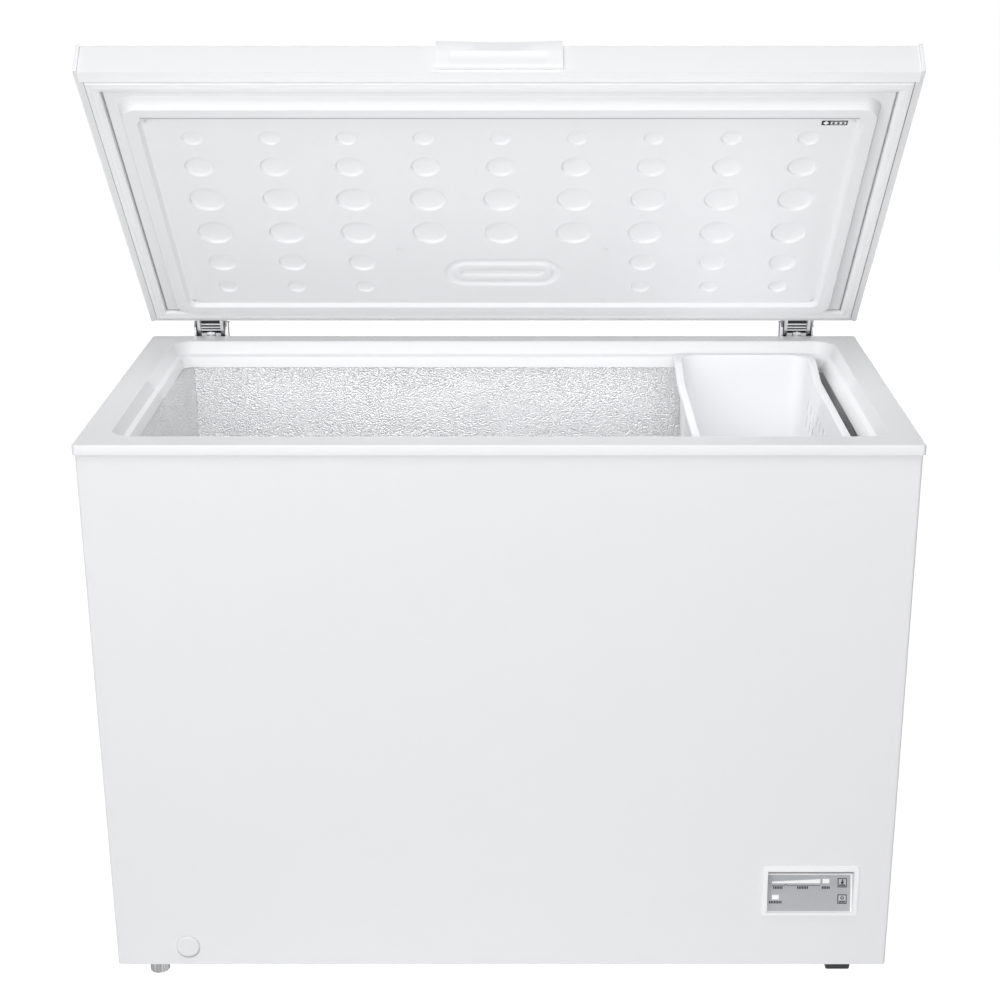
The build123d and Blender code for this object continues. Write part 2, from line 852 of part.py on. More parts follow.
def lid_liner():
    """Formed inner skin: flange, plug, recess, dimples and a grooved pocket."""
    liner = block(-lid_x, lid_x, sheet - lid_y, lid_y - sheet, seat_z, seat_z + liner_flange)
    wall_low = plug_plan(plug_draft, plug_z + plug_edge_cut)
    face_plan = plug_plan(plug_draft + plug_edge_cut, plug_z)
    liner += loft([plug_plan(0, seat_z), wall_low, face_plan], ruled=True)
    liner -= back_pocket()
    liner -= loft([recess_plan(0, plug_z), recess_plan(recess_draft, panel_z)], ruled=True)
    liner -= [dimple(*place) for place in dimple_places()]
    slot = SlotOverall(slot_length, slot_width)
    island = SlotOverall(slot_length - 2 * slot_groove, slot_width - 2 * slot_groove)
    inner = 2 * (slot_groove + slot_island)
    middle = SlotOverall(slot_length - inner, slot_width - inner)
    rings = slot - island + middle
    return liner - extrude(Plane.XY.offset(panel_z) * Pos(0, slot_y) * rings, slot_depth)


def lid_insulation():
    """Foam that fills the lid."""
    low = seat_z + liner_flange
    foam = Rectangle(2 * (lid_y - sheet), lid_high - sheet - low)
    foam = fillet(foam.vertices().group_by(Axis.Y)[-1], lid_edge_round - sheet)
    foam = extrude(Plane.YZ.offset(-lid_x) * Pos(0, (low + lid_high - sheet) / 2) * foam, 2 * lid_x)
    return foam + back_pocket() - grip_shell()


def frame_ring(inset, z0, z1):
    """A rectangular ring in the gasket's place, narrowed by an inset."""
    half_x = lid_x - side_flange - inset
    front = front_flange - lid_y + inset
    rear = lid_y - rear_flange - inset
    width = gasket_width - 2 * inset
    ring = block(-half_x, half_x, front, rear, z0, z1)
    return ring - block(width - half_x, half_x - width, front + width, rear - width, z0 - sheet, z1 + sheet)


def lid_gasket():
    """Soft magnetic seal with square mitred corners and a narrower sealing face."""
    step = seat_z - gasket_foot
    return frame_ring(0, step, seat_z) + frame_ring(gasket_step, rim_height + gasket_gap, step)


def grip_points(spread):
    """Side view of the finger pocket, which rises inside."""
    front = -lid_y - handle_proud
    low = lid_low + grip_low
    high = low + grip_height
    deep = front + grip_depth
    return [
        (front - spread, low - spread), (deep + spread, low + grip_rise - spread),
        (deep + spread, high + spread), (front - spread, high + spread),
    ]


def grip_shell():
    """The part of the handle that sits inside the lid."""
    shell = side_profile(grip_points(grip_wall), -grip_width / 2 - grip_wall, grip_width / 2 + grip_wall)
    return shell - block(-rim_width, rim_width, -rim_depth, -lid_y, 0, 2 * rim_height)


def lid_handle():
    """Moulded grip that wraps the lid's front edge and holds a finger pocket."""
    front = -lid_y - handle_proud
    ridge = lid_low + handle_ridge
    top = lid_high + handle_top
    profile = [
        (-lid_y, lid_low), (front, lid_low), (front, ridge), (front + handle_lean, top),
        (handle_lip - lid_y, top - handle_top / 3), (handle_lip + handle_top - lid_y, lid_high),
        (-lid_y, lid_high),
    ]
    handle = side_profile(profile, -handle_width / 2, handle_width / 2)
    sweep_radius = (handle_width * handle_width / 4 + handle_dip * handle_dip) / (2 * handle_dip)
    dip_z = top - handle_dip + sweep_radius
    handle -= Pos(0, -lid_y, dip_z) * Rot(X=90) * Cylinder(sweep_radius, 4 * handle_lip)
    handle += grip_shell()
    pocket = side_profile(grip_points(0), -grip_width / 2, grip_width / 2)
    return handle - pocket


# Hinges

def cam_profile():
    """Side view of the cam, whose flat follower moves in proportion to the turn."""
    def contact(angle):
        reach = cam_drop - cam_base * angle
        y = -cam_base * math.cos(angle) + reach * math.sin(angle)
        z = -cam_base * math.sin(angle) - reach * math.cos(angle)
        return (pivot_y + y, pivot_z + z)
    steps = 10
    most = math.radians(lid_most_open)
    curve = [contact(most * k / steps) for k in range(steps + 1)]
    hub = (pivot_y + cam_base / 2, pivot_z + leaf_eye / 2)
    nose = (pivot_y - cam_base, pivot_z + leaf_eye / 2)
    return make_face(Polyline(*curve, hub, nose, close=True))


def pin_hole(x):
    """The hole that the pivot pin turns in, drawn with flats round the pin."""
    hole = RegularPolygon(pin_radius + fit_clearance, round_sides, major_radius=False)
    return extrude(Plane.YZ.offset(x - bracket_width) * Pos(pivot_y, pivot_z) * hole, 2 * bracket_width)


def hinge_leaf(x):
    """Welded lid half of a hinge: web, cheeks, two cross rods and the cam."""
    web_low = lid_low + leaf_margin
    web_high = lid_high - leaf_margin
    leaf = block(x - leaf_width / 2, x + leaf_width / 2, lid_y, lid_y + leaf_web, web_low, web_high)
    outline = [
        (lid_y, web_high), (lid_y + leaf_eye, web_high), (pivot_y + leaf_eye, pivot_z + leaf_eye / 2),
        (pivot_y + leaf_eye, pivot_z - 2.2 * leaf_eye), (pivot_y - leaf_eye / 2, pivot_z - 2.4 * leaf_eye),
        (lid_y, web_low),
    ]
    for side in (-1, 1):
        inside = x + side * (leaf_width / 2 - leaf_plate)
        outside = x + side * leaf_width / 2
        leaf += side_profile(outline, min(inside, outside), max(inside, outside))
    half = leaf_width / 2 - leaf_plate
    for y, z in rod_places:
        leaf += prism_x(y, z, x - half, x + half, rod_radius, round_sides // 2)
    leaf += extrude(Plane.YZ.offset(x - cam_width / 2) * cam_profile(), cam_width)
    return leaf - pin_hole(x)


def leaf_screw_places(x):
    """Where two screws hold a leaf to the lid's back."""
    middle = (lid_low + lid_high) / 2
    return [(x + side * leaf_width / 4, middle + leaf_eye) for side in (-1, 1)]


def leaf_screws():
    """Screws of both leaves."""
    screws = []
    for x in (-hinge_x, hinge_x):
        for place_x, z in leaf_screw_places(x):
            screws.append(rear_screw(place_x, z, lid_y + leaf_web))
    return screws


def hinge_bracket(x):
    """Cabinet half of a hinge: a channel behind the back sheet that holds the spring."""
    low = rim_height - bracket_drop
    step = rim_height - rim_skirt - bracket_plate
    nose = rim_depth / 2 + bracket_rim_gap
    outline = [
        (shell_y, low), (shell_y, step), (nose, step), (nose, pivot_z - bracket_nose / 2),
        (pivot_y - bracket_nose / 2, pivot_z + bracket_nose),
        (pivot_y + bracket_nose / 2, pivot_z + bracket_nose),
        (bracket_back, pivot_z - bracket_nose), (bracket_back, low),
    ]
    bracket = None
    half = bracket_width / 2
    for side in (-1, 1):
        inside = x + side * (half - bracket_plate)
        outside = x + side * half
        cheek = side_profile(outline, min(inside, outside), max(inside, outside))
        bracket = cheek if bracket is None else bracket + cheek
        far = x + side * (half + bracket_flange)
        bracket += block(
            min(inside, far), max(inside, far), shell_y, shell_y + bracket_plate,
            low, low + bracket_flange_height,
        )
    web_top = pivot_z - bracket_nose - leaf_eye
    bracket += block(x - half, x + half, bracket_back - bracket_plate, bracket_back, low, web_top)
    bracket += block(x - half, x + half, shell_y, bracket_back, low, low + bracket_plate)
    return bracket - pin_hole(x)


def hinge_pin(x):
    """Pivot pin through the bracket's cheeks and the leaf."""
    half = bracket_width / 2 + pin_end
    return prism_x(pivot_y, pivot_z, x - half, x + half, pin_radius, round_sides)


def hinge_screws():
    """Screws of both brackets, into the back sheet."""
    return [rear_screw(x, z, shell_y + bracket_plate) for x, z in hinge_screw_places]


def hinge_plunger(x):
    """Follower: a neck under the cam and a wide foot guided by the bracket's cheeks."""
    neck = block(x - plunger_neck / 2, x + plunger_neck / 2, *plunger_y, plunger_low, plunger_top)
    guide = bracket_width / 2 - bracket_plate - slide_gap
    foot = block(x - guide, x + guide, *plunger_y, plunger_low, plunger_low + plunger_foot)
    return neck + foot


def hinge_spring(x):
    """Spring under the plunger, drawn as a plain cylinder because the channel hides it."""
    middle = (plunger_y[0] + plunger_y[1]) / 2
    low = rim_height - bracket_drop + bracket_plate
    return prism_z(x, middle, low, plunger_low, spring_radius, round_sides)


# Basket

def corner_points(half_x, half_y, radius):
    """Outline of a rectangle whose corners turn in equal short steps."""
    points = []
    for quarter in range(4):
        side_x = 1 if quarter in (0, 3) else -1
        side_y = 1 if quarter in (0, 1) else -1
        for step in range(basket_corner_steps + 1):
            turn = math.radians(90 * (quarter + step / basket_corner_steps))
            x = side_x * (half_x - radius) + radius * math.cos(turn)
            points.append((x, side_y * (half_y - radius) + radius * math.sin(turn)))
    return points


def scoop_curve(half_y, drop):
    """Top edge of a basket side: level, a soft fall to a lower middle, and up again."""
    top = basket_top - drop
    low = top - basket_scoop
    out = half_y - basket_scoop_end
    run = out - basket_scoop_run
    middle = mouth_middle
    turn = ((out + run) / 2, (top + low) / 2)
    fall = TangentArc((middle - out, top), (middle - turn[0], turn[1]), tangent=(1, 0))
    settle = TangentArc((middle - run, low), (middle - turn[0], turn[1]), tangent=(-1, 0))
    lift = TangentArc((middle + run, low), (middle + turn[0], turn[1]), tangent=(1, 0))
    rise = TangentArc((middle + out, top), (middle + turn[0], turn[1]), tangent=(-1, 0))
    start = Line((middle - half_y, top), (middle - out, top))
    level = Line((middle - run, low), (middle + run, low))
    end = Line((middle + out, top), (middle + half_y, top))
    return [start, fall, settle, level, lift, rise, end]


def basket():
    """Moulded bin that hangs on the ledges, with scooped side rims."""
    half_x = basket_width / 2
    body_y = mouth_y - lip_inset - basket_body_gap
    low = basket_top - basket_height
    flange_low = ledge_z + basket_gap
    middle_x = basket_left + half_x
    wall_x = half_x - basket_rim + basket_wall

    lean = math.degrees(math.atan(basket_taper / basket_height))

    def bin_form(inset, depth):
        plan = corner_points(wall_x - inset, body_y - inset, basket_corner - inset)
        plan = Pos(middle_x, mouth_middle, basket_top) * make_face(Polyline(*plan, close=True))
        return extrude(plan, -depth, taper=lean)

    body = bin_form(0, basket_height)
    hollow = bin_form(basket_wall, basket_height - basket_wall)
    flange_y = mouth_y - collar_draft - basket_end_gap
    flange_plan = RectangleRounded(2 * half_x, 2 * flange_y, basket_corner / 3)
    flange = Plane.XY.offset(flange_low) * Pos(middle_x, mouth_middle) * flange_plan
    flange = extrude(flange, basket_top - flange_low)
    near_y = mouth_middle - body_y + basket_corner / 2
    far_y = mouth_middle + body_y - basket_corner / 2
    span_x = (middle_x - half_x, middle_x + half_x)
    away = block(*span_x, near_y, far_y, flange_low - sheet, basket_top + sheet)
    body += flange - away
    inner_half = half_x - basket_rim - basket_taper
    for side in (-1, 1):
        x0 = middle_x + side * inner_half
        x1 = middle_x + side * half_x
        span_y = body_y - basket_corner / 2
        above = scoop_curve(body_y, basket_rim_height / 2)
        lid_line = Polyline(
            (mouth_middle + body_y, basket_top - basket_rim_height / 2),
            (mouth_middle + body_y, basket_top + basket_rim),
            (mouth_middle - body_y, basket_top + basket_rim),
            (mouth_middle - body_y, basket_top - basket_rim_height / 2),
        )
        cut = make_face([*above, *lid_line.edges()])
        near = min(x0, x1) - basket_taper
        width = basket_rim + 3 * basket_taper
        reach = block(near, near + width, mouth_middle - span_y, mouth_middle + span_y, low, rim_height)
        body -= extrude(Plane.YZ.offset(near) * cut, width) & reach
        upper = scoop_curve(span_y, 0)
        lower = scoop_curve(span_y, basket_rim_height)
        rim_low = basket_top - basket_rim_height
        first = Line((mouth_middle - span_y, basket_top), (mouth_middle - span_y, rim_low))
        last = Line((mouth_middle + span_y, basket_top), (mouth_middle + span_y, rim_low))
        rim_face = make_face([*upper, last, *lower, first])
        body += extrude(Plane.YZ.offset(min(x0, x1)) * rim_face, basket_rim + basket_taper)
    return body - hollow


# Places that several pieces share
drain_y = mouth_front + liner_inset + drain_setback
drain_stem = drain_bore - fit_clearance
drain_path = [
    (drain_x, -shell_y, drain_height),
    (drain_x, drain_y, drain_height),
    (drain_x, drain_y, floor_z - liner_sheet),
]
level_y = shell_y - level_front - level_radius
level_places = [(-shell_x + level_inset, side * level_y) for side in (-1, 1)]
block_foot_y = shell_y - foot_front - foot_top / 2
block_foot_places = [(shell_x - foot_inset, side * block_foot_y) for side in (-1, 1)]
tray_top = base_top + tray_sheet
leg_top = tray_top + grommet_height + leg_thickness
tray_rear = inner_y - tray_rear_gap
tray_front = tray_rear - tray_depth
leg_y = (tray_front + tray_rear) / 2
leg_places = [
    (bay_middle + i * (leg_length / 2 - leg_hole_inset), leg_y + j * (leg_width / 2 - leg_hole_inset))
    for i in (-1, 1)
    for j in (-1, 1)
]
stub_top = leg_top + can_height
pipe_places = [(bay_middle + side * can_radius / 2, leg_y + can_radius / 3) for side in (-1, 1)]
terminal_low = leg_top + can_height / 5
rear_cover_x = (bay_x - rear_cover_margin, inner_x)
rear_cover_z = (base_top + rear_cover_margin, bay_z + rear_cover_margin)
rear_opening_x = (bay_x + rear_opening_inset, inner_x - rear_opening_inset)
rear_opening_z = (rear_cover_z[0] + rear_opening_inset, bay_z - rear_opening_inset)
cover_screw_inset = rear_opening_inset / 2
cover_screw_places = [
    (x, z)
    for x in (rear_cover_x[0] + cover_screw_inset, rear_cover_x[1] - cover_screw_inset)
    for z in (rear_cover_z[0] + cover_screw_inset, rear_cover_z[1] - cover_screw_inset)
]
gland_x = rear_opening_x[1] - 2 * gland_radius
gland_z = rear_opening_z[0] + 1.2 * gland_radius
grille_hole_y = (-grille_length / 2, grille_length / 2)
grille_hole_z = (foot_height + grille_low, foot_height + grille_low + grille_height)

bezel_x = (shell_x - panel_right - bezel_width, shell_x - panel_right)
bezel_z = (foot_height + panel_low, foot_height + panel_low + bezel_height)
panel_x = (bezel_x[0] + bezel_x[1]) / 2
window_x = (panel_x - window_width / 2, panel_x + window_width / 2)
window_z = (bezel_z[0] + window_low, bezel_z[0] + window_low + window_height)
panel_margin = bezel_wall + fascia_thickness + key_gap
panel_hole_x = (window_x[0] - panel_margin, window_x[1] + panel_margin)
panel_hole_z = (window_z[0] - panel_margin, window_z[1] + panel_margin)
fascia_width = window_width - 2 * fascia_side_gap
fascia_run = fascia_head_depth - fascia_foot_depth
fascia_rise = math.sqrt(fascia_length**2 - fascia_run**2)
fascia_in = (fascia_rise / fascia_length, -fascia_run / fascia_length)
fascia_plane = Plane(
    origin=(panel_x, -shell_y + fascia_foot_depth, window_z[0]),
    x_dir=(1, 0, 0),
    z_dir=(0, -fascia_in[0], -fascia_in[1]),
)

plug_z = seat_z - plug_drop
panel_z = plug_z + recess_depth
panel_back = panel_z + dimple_panel
slot_y = mouth_middle + mouth_y - plug_clearance - plug_draft - recess_border - recess_draft - slot_rear
grip_hole_x = (-grip_width / 2 - grip_wall - grip_gap, grip_width / 2 + grip_wall + grip_gap)
grip_margin = grip_wall + grip_gap
grip_hole_z = (lid_low + grip_low - grip_margin, lid_low + grip_low + grip_height + grip_margin)

rod_places = [
    (pivot_y - 0.8 * leaf_eye, pivot_z - 1.4 * leaf_eye),
    (pivot_y - 0.1 * leaf_eye, pivot_z - 1.83 * leaf_eye),
]
hinge_screw_places = [
    (hinge + side * (bracket_width / 2 + bracket_flange / 2), rim_height - bracket_drop + row)
    for hinge in (-hinge_x, hinge_x)
    for side in (-1, 1)
    for row in (2 * bracket_flange, bracket_flange_height - 2 * bracket_flange)
]
plunger_y = (pivot_y - cam_base - plunger_depth / 4, pivot_y - cam_base + 3 * plunger_depth / 4)
plunger_top = pivot_z - cam_drop + cam_base * math.radians(lid_angle) - cam_gap
plunger_low = plunger_top - plunger_height
basket_top = ledge_z + basket_rise


# Everything in its place
centre_shift = Pos(0, (rim_depth / 2 - bracket_back) / 2, 0)
open_lid = Pos(0, pivot_y, pivot_z) * Rot(X=-lid_angle) * Pos(0, -pivot_y, -pivot_z)

fixed_pieces = {
    "outer_shell": outer_shell(),
    "rear_panel": rear_panel(),
    "base_pan": base_pan(),
    "top_frame": top_frame(),
    "inner_liner": inner_liner(),
    "cabinet_insulation": cabinet_insulation(),
    "evaporator_coil": evaporator_coil(),
    "condenser_coil": condenser_coil(),
    "bay_bulkhead": bay_bulkhead(),
    "compressor_tray": compressor_tray(),
    "compressor_grommets": compressor_grommets(),
    "compressor_bolts": compressor_bolts(),
    "compressor": compressor(),
    "terminal_cover": terminal_cover(),
    "discharge_line": rising_pipe(*pipe_places[0]),
    "suction_line": rising_pipe(*pipe_places[1]),
    "filter_drier": filter_drier(),
    "rear_cover": rear_cover(),
    "rear_cover_screws": [rear_screw(x, z, shell_y + sheet) for x, z in cover_screw_places],
    "cord_gland": cord_gland(),
    "side_grille": side_grille(),
    "control_bezel": control_bezel(),
    "control_fascia": control_fascia(),
    "indicator_windows": lamp_windows(fascia_thickness),
    "control_board": control_board(),
    "upper_key": push_key(key_rows[0]),
    "lower_key": push_key(key_rows[1]),
    "drain_tube": drain_tube(),
    "drain_cap": drain_cap(),
    "drain_stopper": drain_stopper(),
    "levelling_foot_front": levelling_foot(*level_places[0]),
    "levelling_foot_rear": levelling_foot(*level_places[1]),
    "right_feet": right_feet(),
    "hinge_bracket_left": hinge_bracket(-hinge_x),
    "hinge_bracket_right": hinge_bracket(hinge_x),
    "hinge_pin_left": hinge_pin(-hinge_x),
    "hinge_pin_right": hinge_pin(hinge_x),
    "hinge_screws": hinge_screws(),
    "hinge_plunger_left": hinge_plunger(-hinge_x),
    "hinge_plunger_right": hinge_plunger(hinge_x),
    "hinge_spring_left": hinge_spring(-hinge_x),
    "hinge_spring_right": hinge_spring(hinge_x),
    "basket": basket(),
}
lid_pieces = {
    "lid_skin": lid_skin(),
    "lid_end_cap_left": lid_end_cap(-1),
    "lid_end_cap_right": lid_end_cap(1),
    "lid_liner": lid_liner(),
    "lid_insulation": lid_insulation(),
    "lid_gasket": lid_gasket(),
    "lid_handle": lid_handle(),
    "hinge_leaf_left": hinge_leaf(-hinge_x),
    "hinge_leaf_right": hinge_leaf(hinge_x),
    "leaf_screws": leaf_screws(),
}


def write(name, piece, place):
    """Save one piece, or a group of alike pieces, as its own file."""
    items = piece if isinstance(piece, list) else [piece]
    solids = [solid for item in items for solid in item.solids()]
    placed = [place * solid for solid in solids]
    export_step(placed[0] if len(placed) == 1 else Compound(children=placed), f"parts/{name}.step")


os.makedirs("parts", exist_ok=True)
for name, piece in fixed_pieces.items():
    write(name, piece, centre_shift)
for name, piece in lid_pieces.items():
    write(name, piece, centre_shift * open_lid)
print(f"{len(fixed_pieces) + len(lid_pieces)} pieces, shifted {centre_shift.position.Y:.2f} mm along y")
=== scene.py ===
# %% [markdown]
# A white chest freezer with its lid propped open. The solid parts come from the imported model, which
# gives every piece its true size and its joints. This lesson dresses that model: it makes finer skins
# where a coarse mesh would show flat spots, gives every piece a finish, and sets the light and the
# camera.

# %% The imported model
import math

import bmesh
import bpy
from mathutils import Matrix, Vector


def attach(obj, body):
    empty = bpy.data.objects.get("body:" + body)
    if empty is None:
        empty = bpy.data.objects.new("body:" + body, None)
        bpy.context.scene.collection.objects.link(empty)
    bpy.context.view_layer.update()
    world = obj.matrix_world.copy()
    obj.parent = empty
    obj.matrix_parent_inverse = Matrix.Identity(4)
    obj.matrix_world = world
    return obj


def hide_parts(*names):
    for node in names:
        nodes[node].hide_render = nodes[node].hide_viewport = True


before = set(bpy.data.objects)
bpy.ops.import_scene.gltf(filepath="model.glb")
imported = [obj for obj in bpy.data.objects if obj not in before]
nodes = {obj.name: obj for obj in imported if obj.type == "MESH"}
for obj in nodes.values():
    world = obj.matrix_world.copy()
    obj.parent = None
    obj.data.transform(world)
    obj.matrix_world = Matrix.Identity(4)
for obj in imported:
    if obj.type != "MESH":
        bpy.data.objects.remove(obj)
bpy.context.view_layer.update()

print("pieces in the packed model:", len(nodes))

# %% [markdown]
# Shader maths is easier to read as Python than as a picture of boxes and wires. One small class stands
# for an output socket. Adding, subtracting or multiplying two of them adds a Math node behind the
# scenes. Every other kind of node comes from one method, which takes the node's type, its settings and
# what goes into its sockets.

# %% A socket that does arithmetic
class Wire:
    """An output socket of a node tree."""

    def __init__(self, tree, socket):
        self.tree = tree
        self.socket = socket

    @classmethod
    def node(cls, tree, kind, settings=None, values=None, out=0):
        """Add a node, set it up, fill its sockets and give back one of its outputs."""
        made = tree.nodes.new(kind)
        for name, value in (settings or {}).items():
            setattr(made, name, value)
        for name, value in (values or {}).items():
            socket = made.inputs[name]
            if isinstance(value, Wire):
                tree.links.new(value.socket, socket)
            else:
                socket.default_value = value
        return cls(tree, made.outputs[out])

    def math(self, operation, other):
        """This socket and another value through a Math node."""
        return Wire.node(self.tree, "ShaderNodeMath", {"operation": operation}, {0: self, 1: other})

    def __add__(self, other):
        return self.math("ADD", other)

    __radd__ = __add__

    def __sub__(self, other):
        return self.math("SUBTRACT", other)

    def __rsub__(self, other):
        return Wire.node(self.tree, "ShaderNodeMath", {"operation": "SUBTRACT"}, {0: other, 1: self})

    def __mul__(self, other):
        return self.math("MULTIPLY", other)

    __rmul__ = __mul__


print("shader arithmetic is ready")

# %% [markdown]
# A few nodes are wanted again and again: the place on a piece, a soft noise, a bump and a blend of two
# colours. The Mix node has sockets for every kind of value, so its colour sockets are picked by number.

# %% Nodes used by every finish
MIX_FACTOR, MIX_FIRST, MIX_SECOND, MIX_RESULT = 0, 6, 7, 2


def object_place(tree):
    """Places in the piece's own space."""
    return Wire.node(tree, "ShaderNodeTexCoord", out="Object")


def noise(tree, place, scale, detail=2.0, out=0):
    """A soft noise."""
    values = {"Vector": place, "Scale": scale, "Detail": detail}
    return Wire.node(tree, "ShaderNodeTexNoise", None, values, out)


def bump(tree, height, distance, strength):
    """A normal tilted by a height."""
    values = {"Strength": strength, "Distance": distance, "Height": height}
    return Wire.node(tree, "ShaderNodeBump", None, values)


def between(tree, factor, first, second):
    """A colour between two colours."""
    values = {MIX_FACTOR: factor, MIX_FIRST: first, MIX_SECOND: second}
    return Wire.node(tree, "ShaderNodeMix", {"data_type": "RGBA"}, values, MIX_RESULT)


def grown(colour, amount):
    """A colour made a little lighter or darker, for the mottling of a finish."""
    return tuple(min(1.0, c * amount) for c in colour) + (1.0,)


def new_material(name):
    """An empty material and its node tree."""
    material = bpy.data.materials.new(name)
    material.use_nodes = True
    tree = material.node_tree
    tree.nodes.clear()
    return material, tree


def show(tree, shader, kind="ShaderNodeOutputMaterial"):
    """Join a shader to the output of a material or of the world."""
    out = tree.nodes.new(kind)
    tree.links.new(shader.socket, out.inputs["Surface"])


def surface(tree, values):
    """The main shader, joined to the material's output."""
    show(tree, Wire.node(tree, "ShaderNodeBsdfPrincipled", None, values))


print("a blend reads sockets", MIX_FACTOR, MIX_FIRST, "and", MIX_SECOND)

# %% [markdown]
# Most of a freezer's finishes are one thing: a paint, a moulding or a metal whose colour and gloss drift
# a little from place to place, some of them over a fine grain. Each could have a node tree of its own,
# but one function makes them all from a few numbers, and they stay easy to compare. The drift comes from
# a noise in object space, so it stays on the piece from every side. The levelling feet have a finish of
# their own, whose noise is stretched along the height into upright light and dark streaks: painted light
# and shade standing for how light falls on the feet's knurled sides.

# %% A finish with drift and grain
GRAIN_HEIGHT = 0.0004
FACET_SHADE_STRETCH, FACET_SHADE_SCALE = (1.0, 1.0, 0.04), 190.0


def finish(name, colour, rough, drift, scale=6.0, metallic=0.0, coat=0.0, grain=0.0, grain_scale=900.0):
    """A paint, moulding or metal with slow drift of tone and gloss, and a fine grain."""
    material, tree = new_material(name)
    place = object_place(tree)
    slow = noise(tree, place, scale)
    tone = between(tree, slow, grown(colour, 1.0 - drift), grown(colour, 1.0 + drift))
    gloss = slow * (0.3 * rough) + 0.85 * rough
    values = {"Base Color": tone, "Roughness": gloss, "Metallic": metallic, "Coat Weight": coat}
    if grain:
        values["Normal"] = bump(tree, noise(tree, place, grain_scale, 1.0), GRAIN_HEIGHT, grain)
    surface(tree, values)
    return material


def facet_shaded_metal(name, dark, light, rough):
    """A pressed metal whose tone runs in upright streaks of painted light and shade, as on knurled sides.
    """
    material, tree = new_material(name)
    stretch = {0: object_place(tree), 1: FACET_SHADE_STRETCH}
    tall = Wire.node(tree, "ShaderNodeVectorMath", {"operation": "MULTIPLY"}, stretch)
    facet_shade = noise(tree, tall, FACET_SHADE_SCALE)
    # The upright streaks are painted light and shade of the feet's knurled sides.
    tone = between(tree, (facet_shade - 0.32) * 2.8, dark, light)
    surface(tree, {"Base Color": tone, "Roughness": facet_shade * 0.2 + rough, "Metallic": 0.2})
    return material


white_enamel = finish("white_enamel", (0.84, 0.84, 0.85), 0.30, drift=0.006, scale=2.0, coat=0.15)
white_moulding = finish("white_moulding", (0.88, 0.882, 0.888), 0.34, drift=0.006, grain=0.05)
lid_moulding = finish("lid_moulding", (0.87, 0.873, 0.88), 0.32, drift=0.008, grain=0.03)
soft_seal = finish("soft_seal", (0.96, 0.961, 0.964), 0.48, drift=0.008, scale=14.0)
# The hem's enamel is the lid skin's white painted lighter, as painted light on the hem.
hem_lit_enamel = finish("hem_lit_enamel", (0.985, 0.985, 0.987), 0.50, drift=0.004)
basket_white = finish("basket_white", (0.86, 0.862, 0.87), 0.36, drift=0.006, grain=0.04)
cap_enamel = finish("cap_enamel", (0.82, 0.823, 0.83), 0.34, drift=0.01)
bezel_white = finish("bezel_white", (0.95, 0.95, 0.955), 0.30, drift=0.005)
ink_dark = finish("ink_dark", (0.012, 0.012, 0.014), 0.60, drift=0.1, scale=200.0)
brow_grey = finish("brow_grey", (0.88, 0.883, 0.89), 0.35, drift=0.02, scale=60.0)
# The next two greys are painted shade, put in narrow gaps, grooves and under edges.
deep_shade_grey = finish("deep_shade_grey", (0.16, 0.162, 0.168), 0.60, drift=0.08, scale=60.0)
soft_shade_grey = finish("soft_shade_grey", (0.46, 0.463, 0.475), 0.50, drift=0.02, scale=60.0)
bright_zinc = finish("bright_zinc", (0.90, 0.905, 0.91), 0.32, drift=0.02, scale=30.0, metallic=0.5)
# Near-black steel, painted shade for the hinges' shadowed inside.
shade_dark_steel = finish("shade_dark_steel", (0.035, 0.035, 0.038), 0.55, drift=0.12, scale=60.0, metallic=0.2)
handle_moulding = finish("handle_moulding", (0.865, 0.867, 0.871), 0.36, drift=0.006)
galvanised = finish("galvanised", (0.62, 0.63, 0.64), 0.42, drift=0.10, scale=60.0, metallic=0.9)
zinc_plate = finish("zinc_plate", (0.72, 0.73, 0.74), 0.26, drift=0.05, scale=30.0, metallic=1.0)
fascia_grey = finish("fascia_grey", (0.41, 0.42, 0.435), 0.40, drift=0.03, scale=120.0)
lamp_white = finish("lamp_white", (0.96, 0.96, 0.96), 0.25, drift=0.01)
key_grey = finish("key_grey", (0.50, 0.51, 0.525), 0.35, drift=0.02, scale=90.0)
# The feet's grey streaks are painted light and shade, not a pattern of the metal.
foot_grey = facet_shaded_metal("foot_grey", (0.09, 0.09, 0.095, 1.0), (0.78, 0.785, 0.79, 1.0), 0.35)
foot_black = finish("foot_black", (0.010, 0.010, 0.012), 0.48, drift=0.2, scale=40.0)
black_enamel = finish("black_enamel", (0.018, 0.018, 0.019), 0.30, drift=0.15, coat=0.3)
rubber_black = finish("rubber_black", (0.022, 0.022, 0.022), 0.70, drift=0.2)
copper_tube = finish("copper_tube", (0.72, 0.40, 0.27), 0.30, drift=0.08, scale=20.0, metallic=1.0)
tube_metal = finish("tube_metal", (0.70, 0.70, 0.71), 0.35, drift=0.05, scale=20.0, metallic=1.0)
foam_cream = finish(
    "foam_cream", (0.78, 0.70, 0.48), 0.90, drift=0.06, scale=30.0, grain=0.4, grain_scale=300.0,
)
board_green = finish("board_green", (0.03, 0.16, 0.06), 0.40, drift=0.1, scale=50.0)
print("plain finishes:", len(bpy.data.materials))

# %% [markdown]
# The tub is bright aluminium sheet, rolled between patterned cylinders so that it is covered in small
# raised pebbles. A smooth Voronoi texture has just that look: rounded cells with soft valleys. A fine
# noise first pushes the cells out of line. The cells drive a Bump node and, with a slow noise, the tone:
# the tops of the pebbles are painted lighter, a painted glint standing for the sparkle of the metal.

# %% Embossed aluminium
PEBBLE_SCALE, PEBBLE_SMOOTH, PEBBLE_HEIGHT = 500.0, 0.15, 0.0016
WOBBLE_SCALE, WOBBLE_REACH = 160.0, (0.004, 0.004, 0.004)


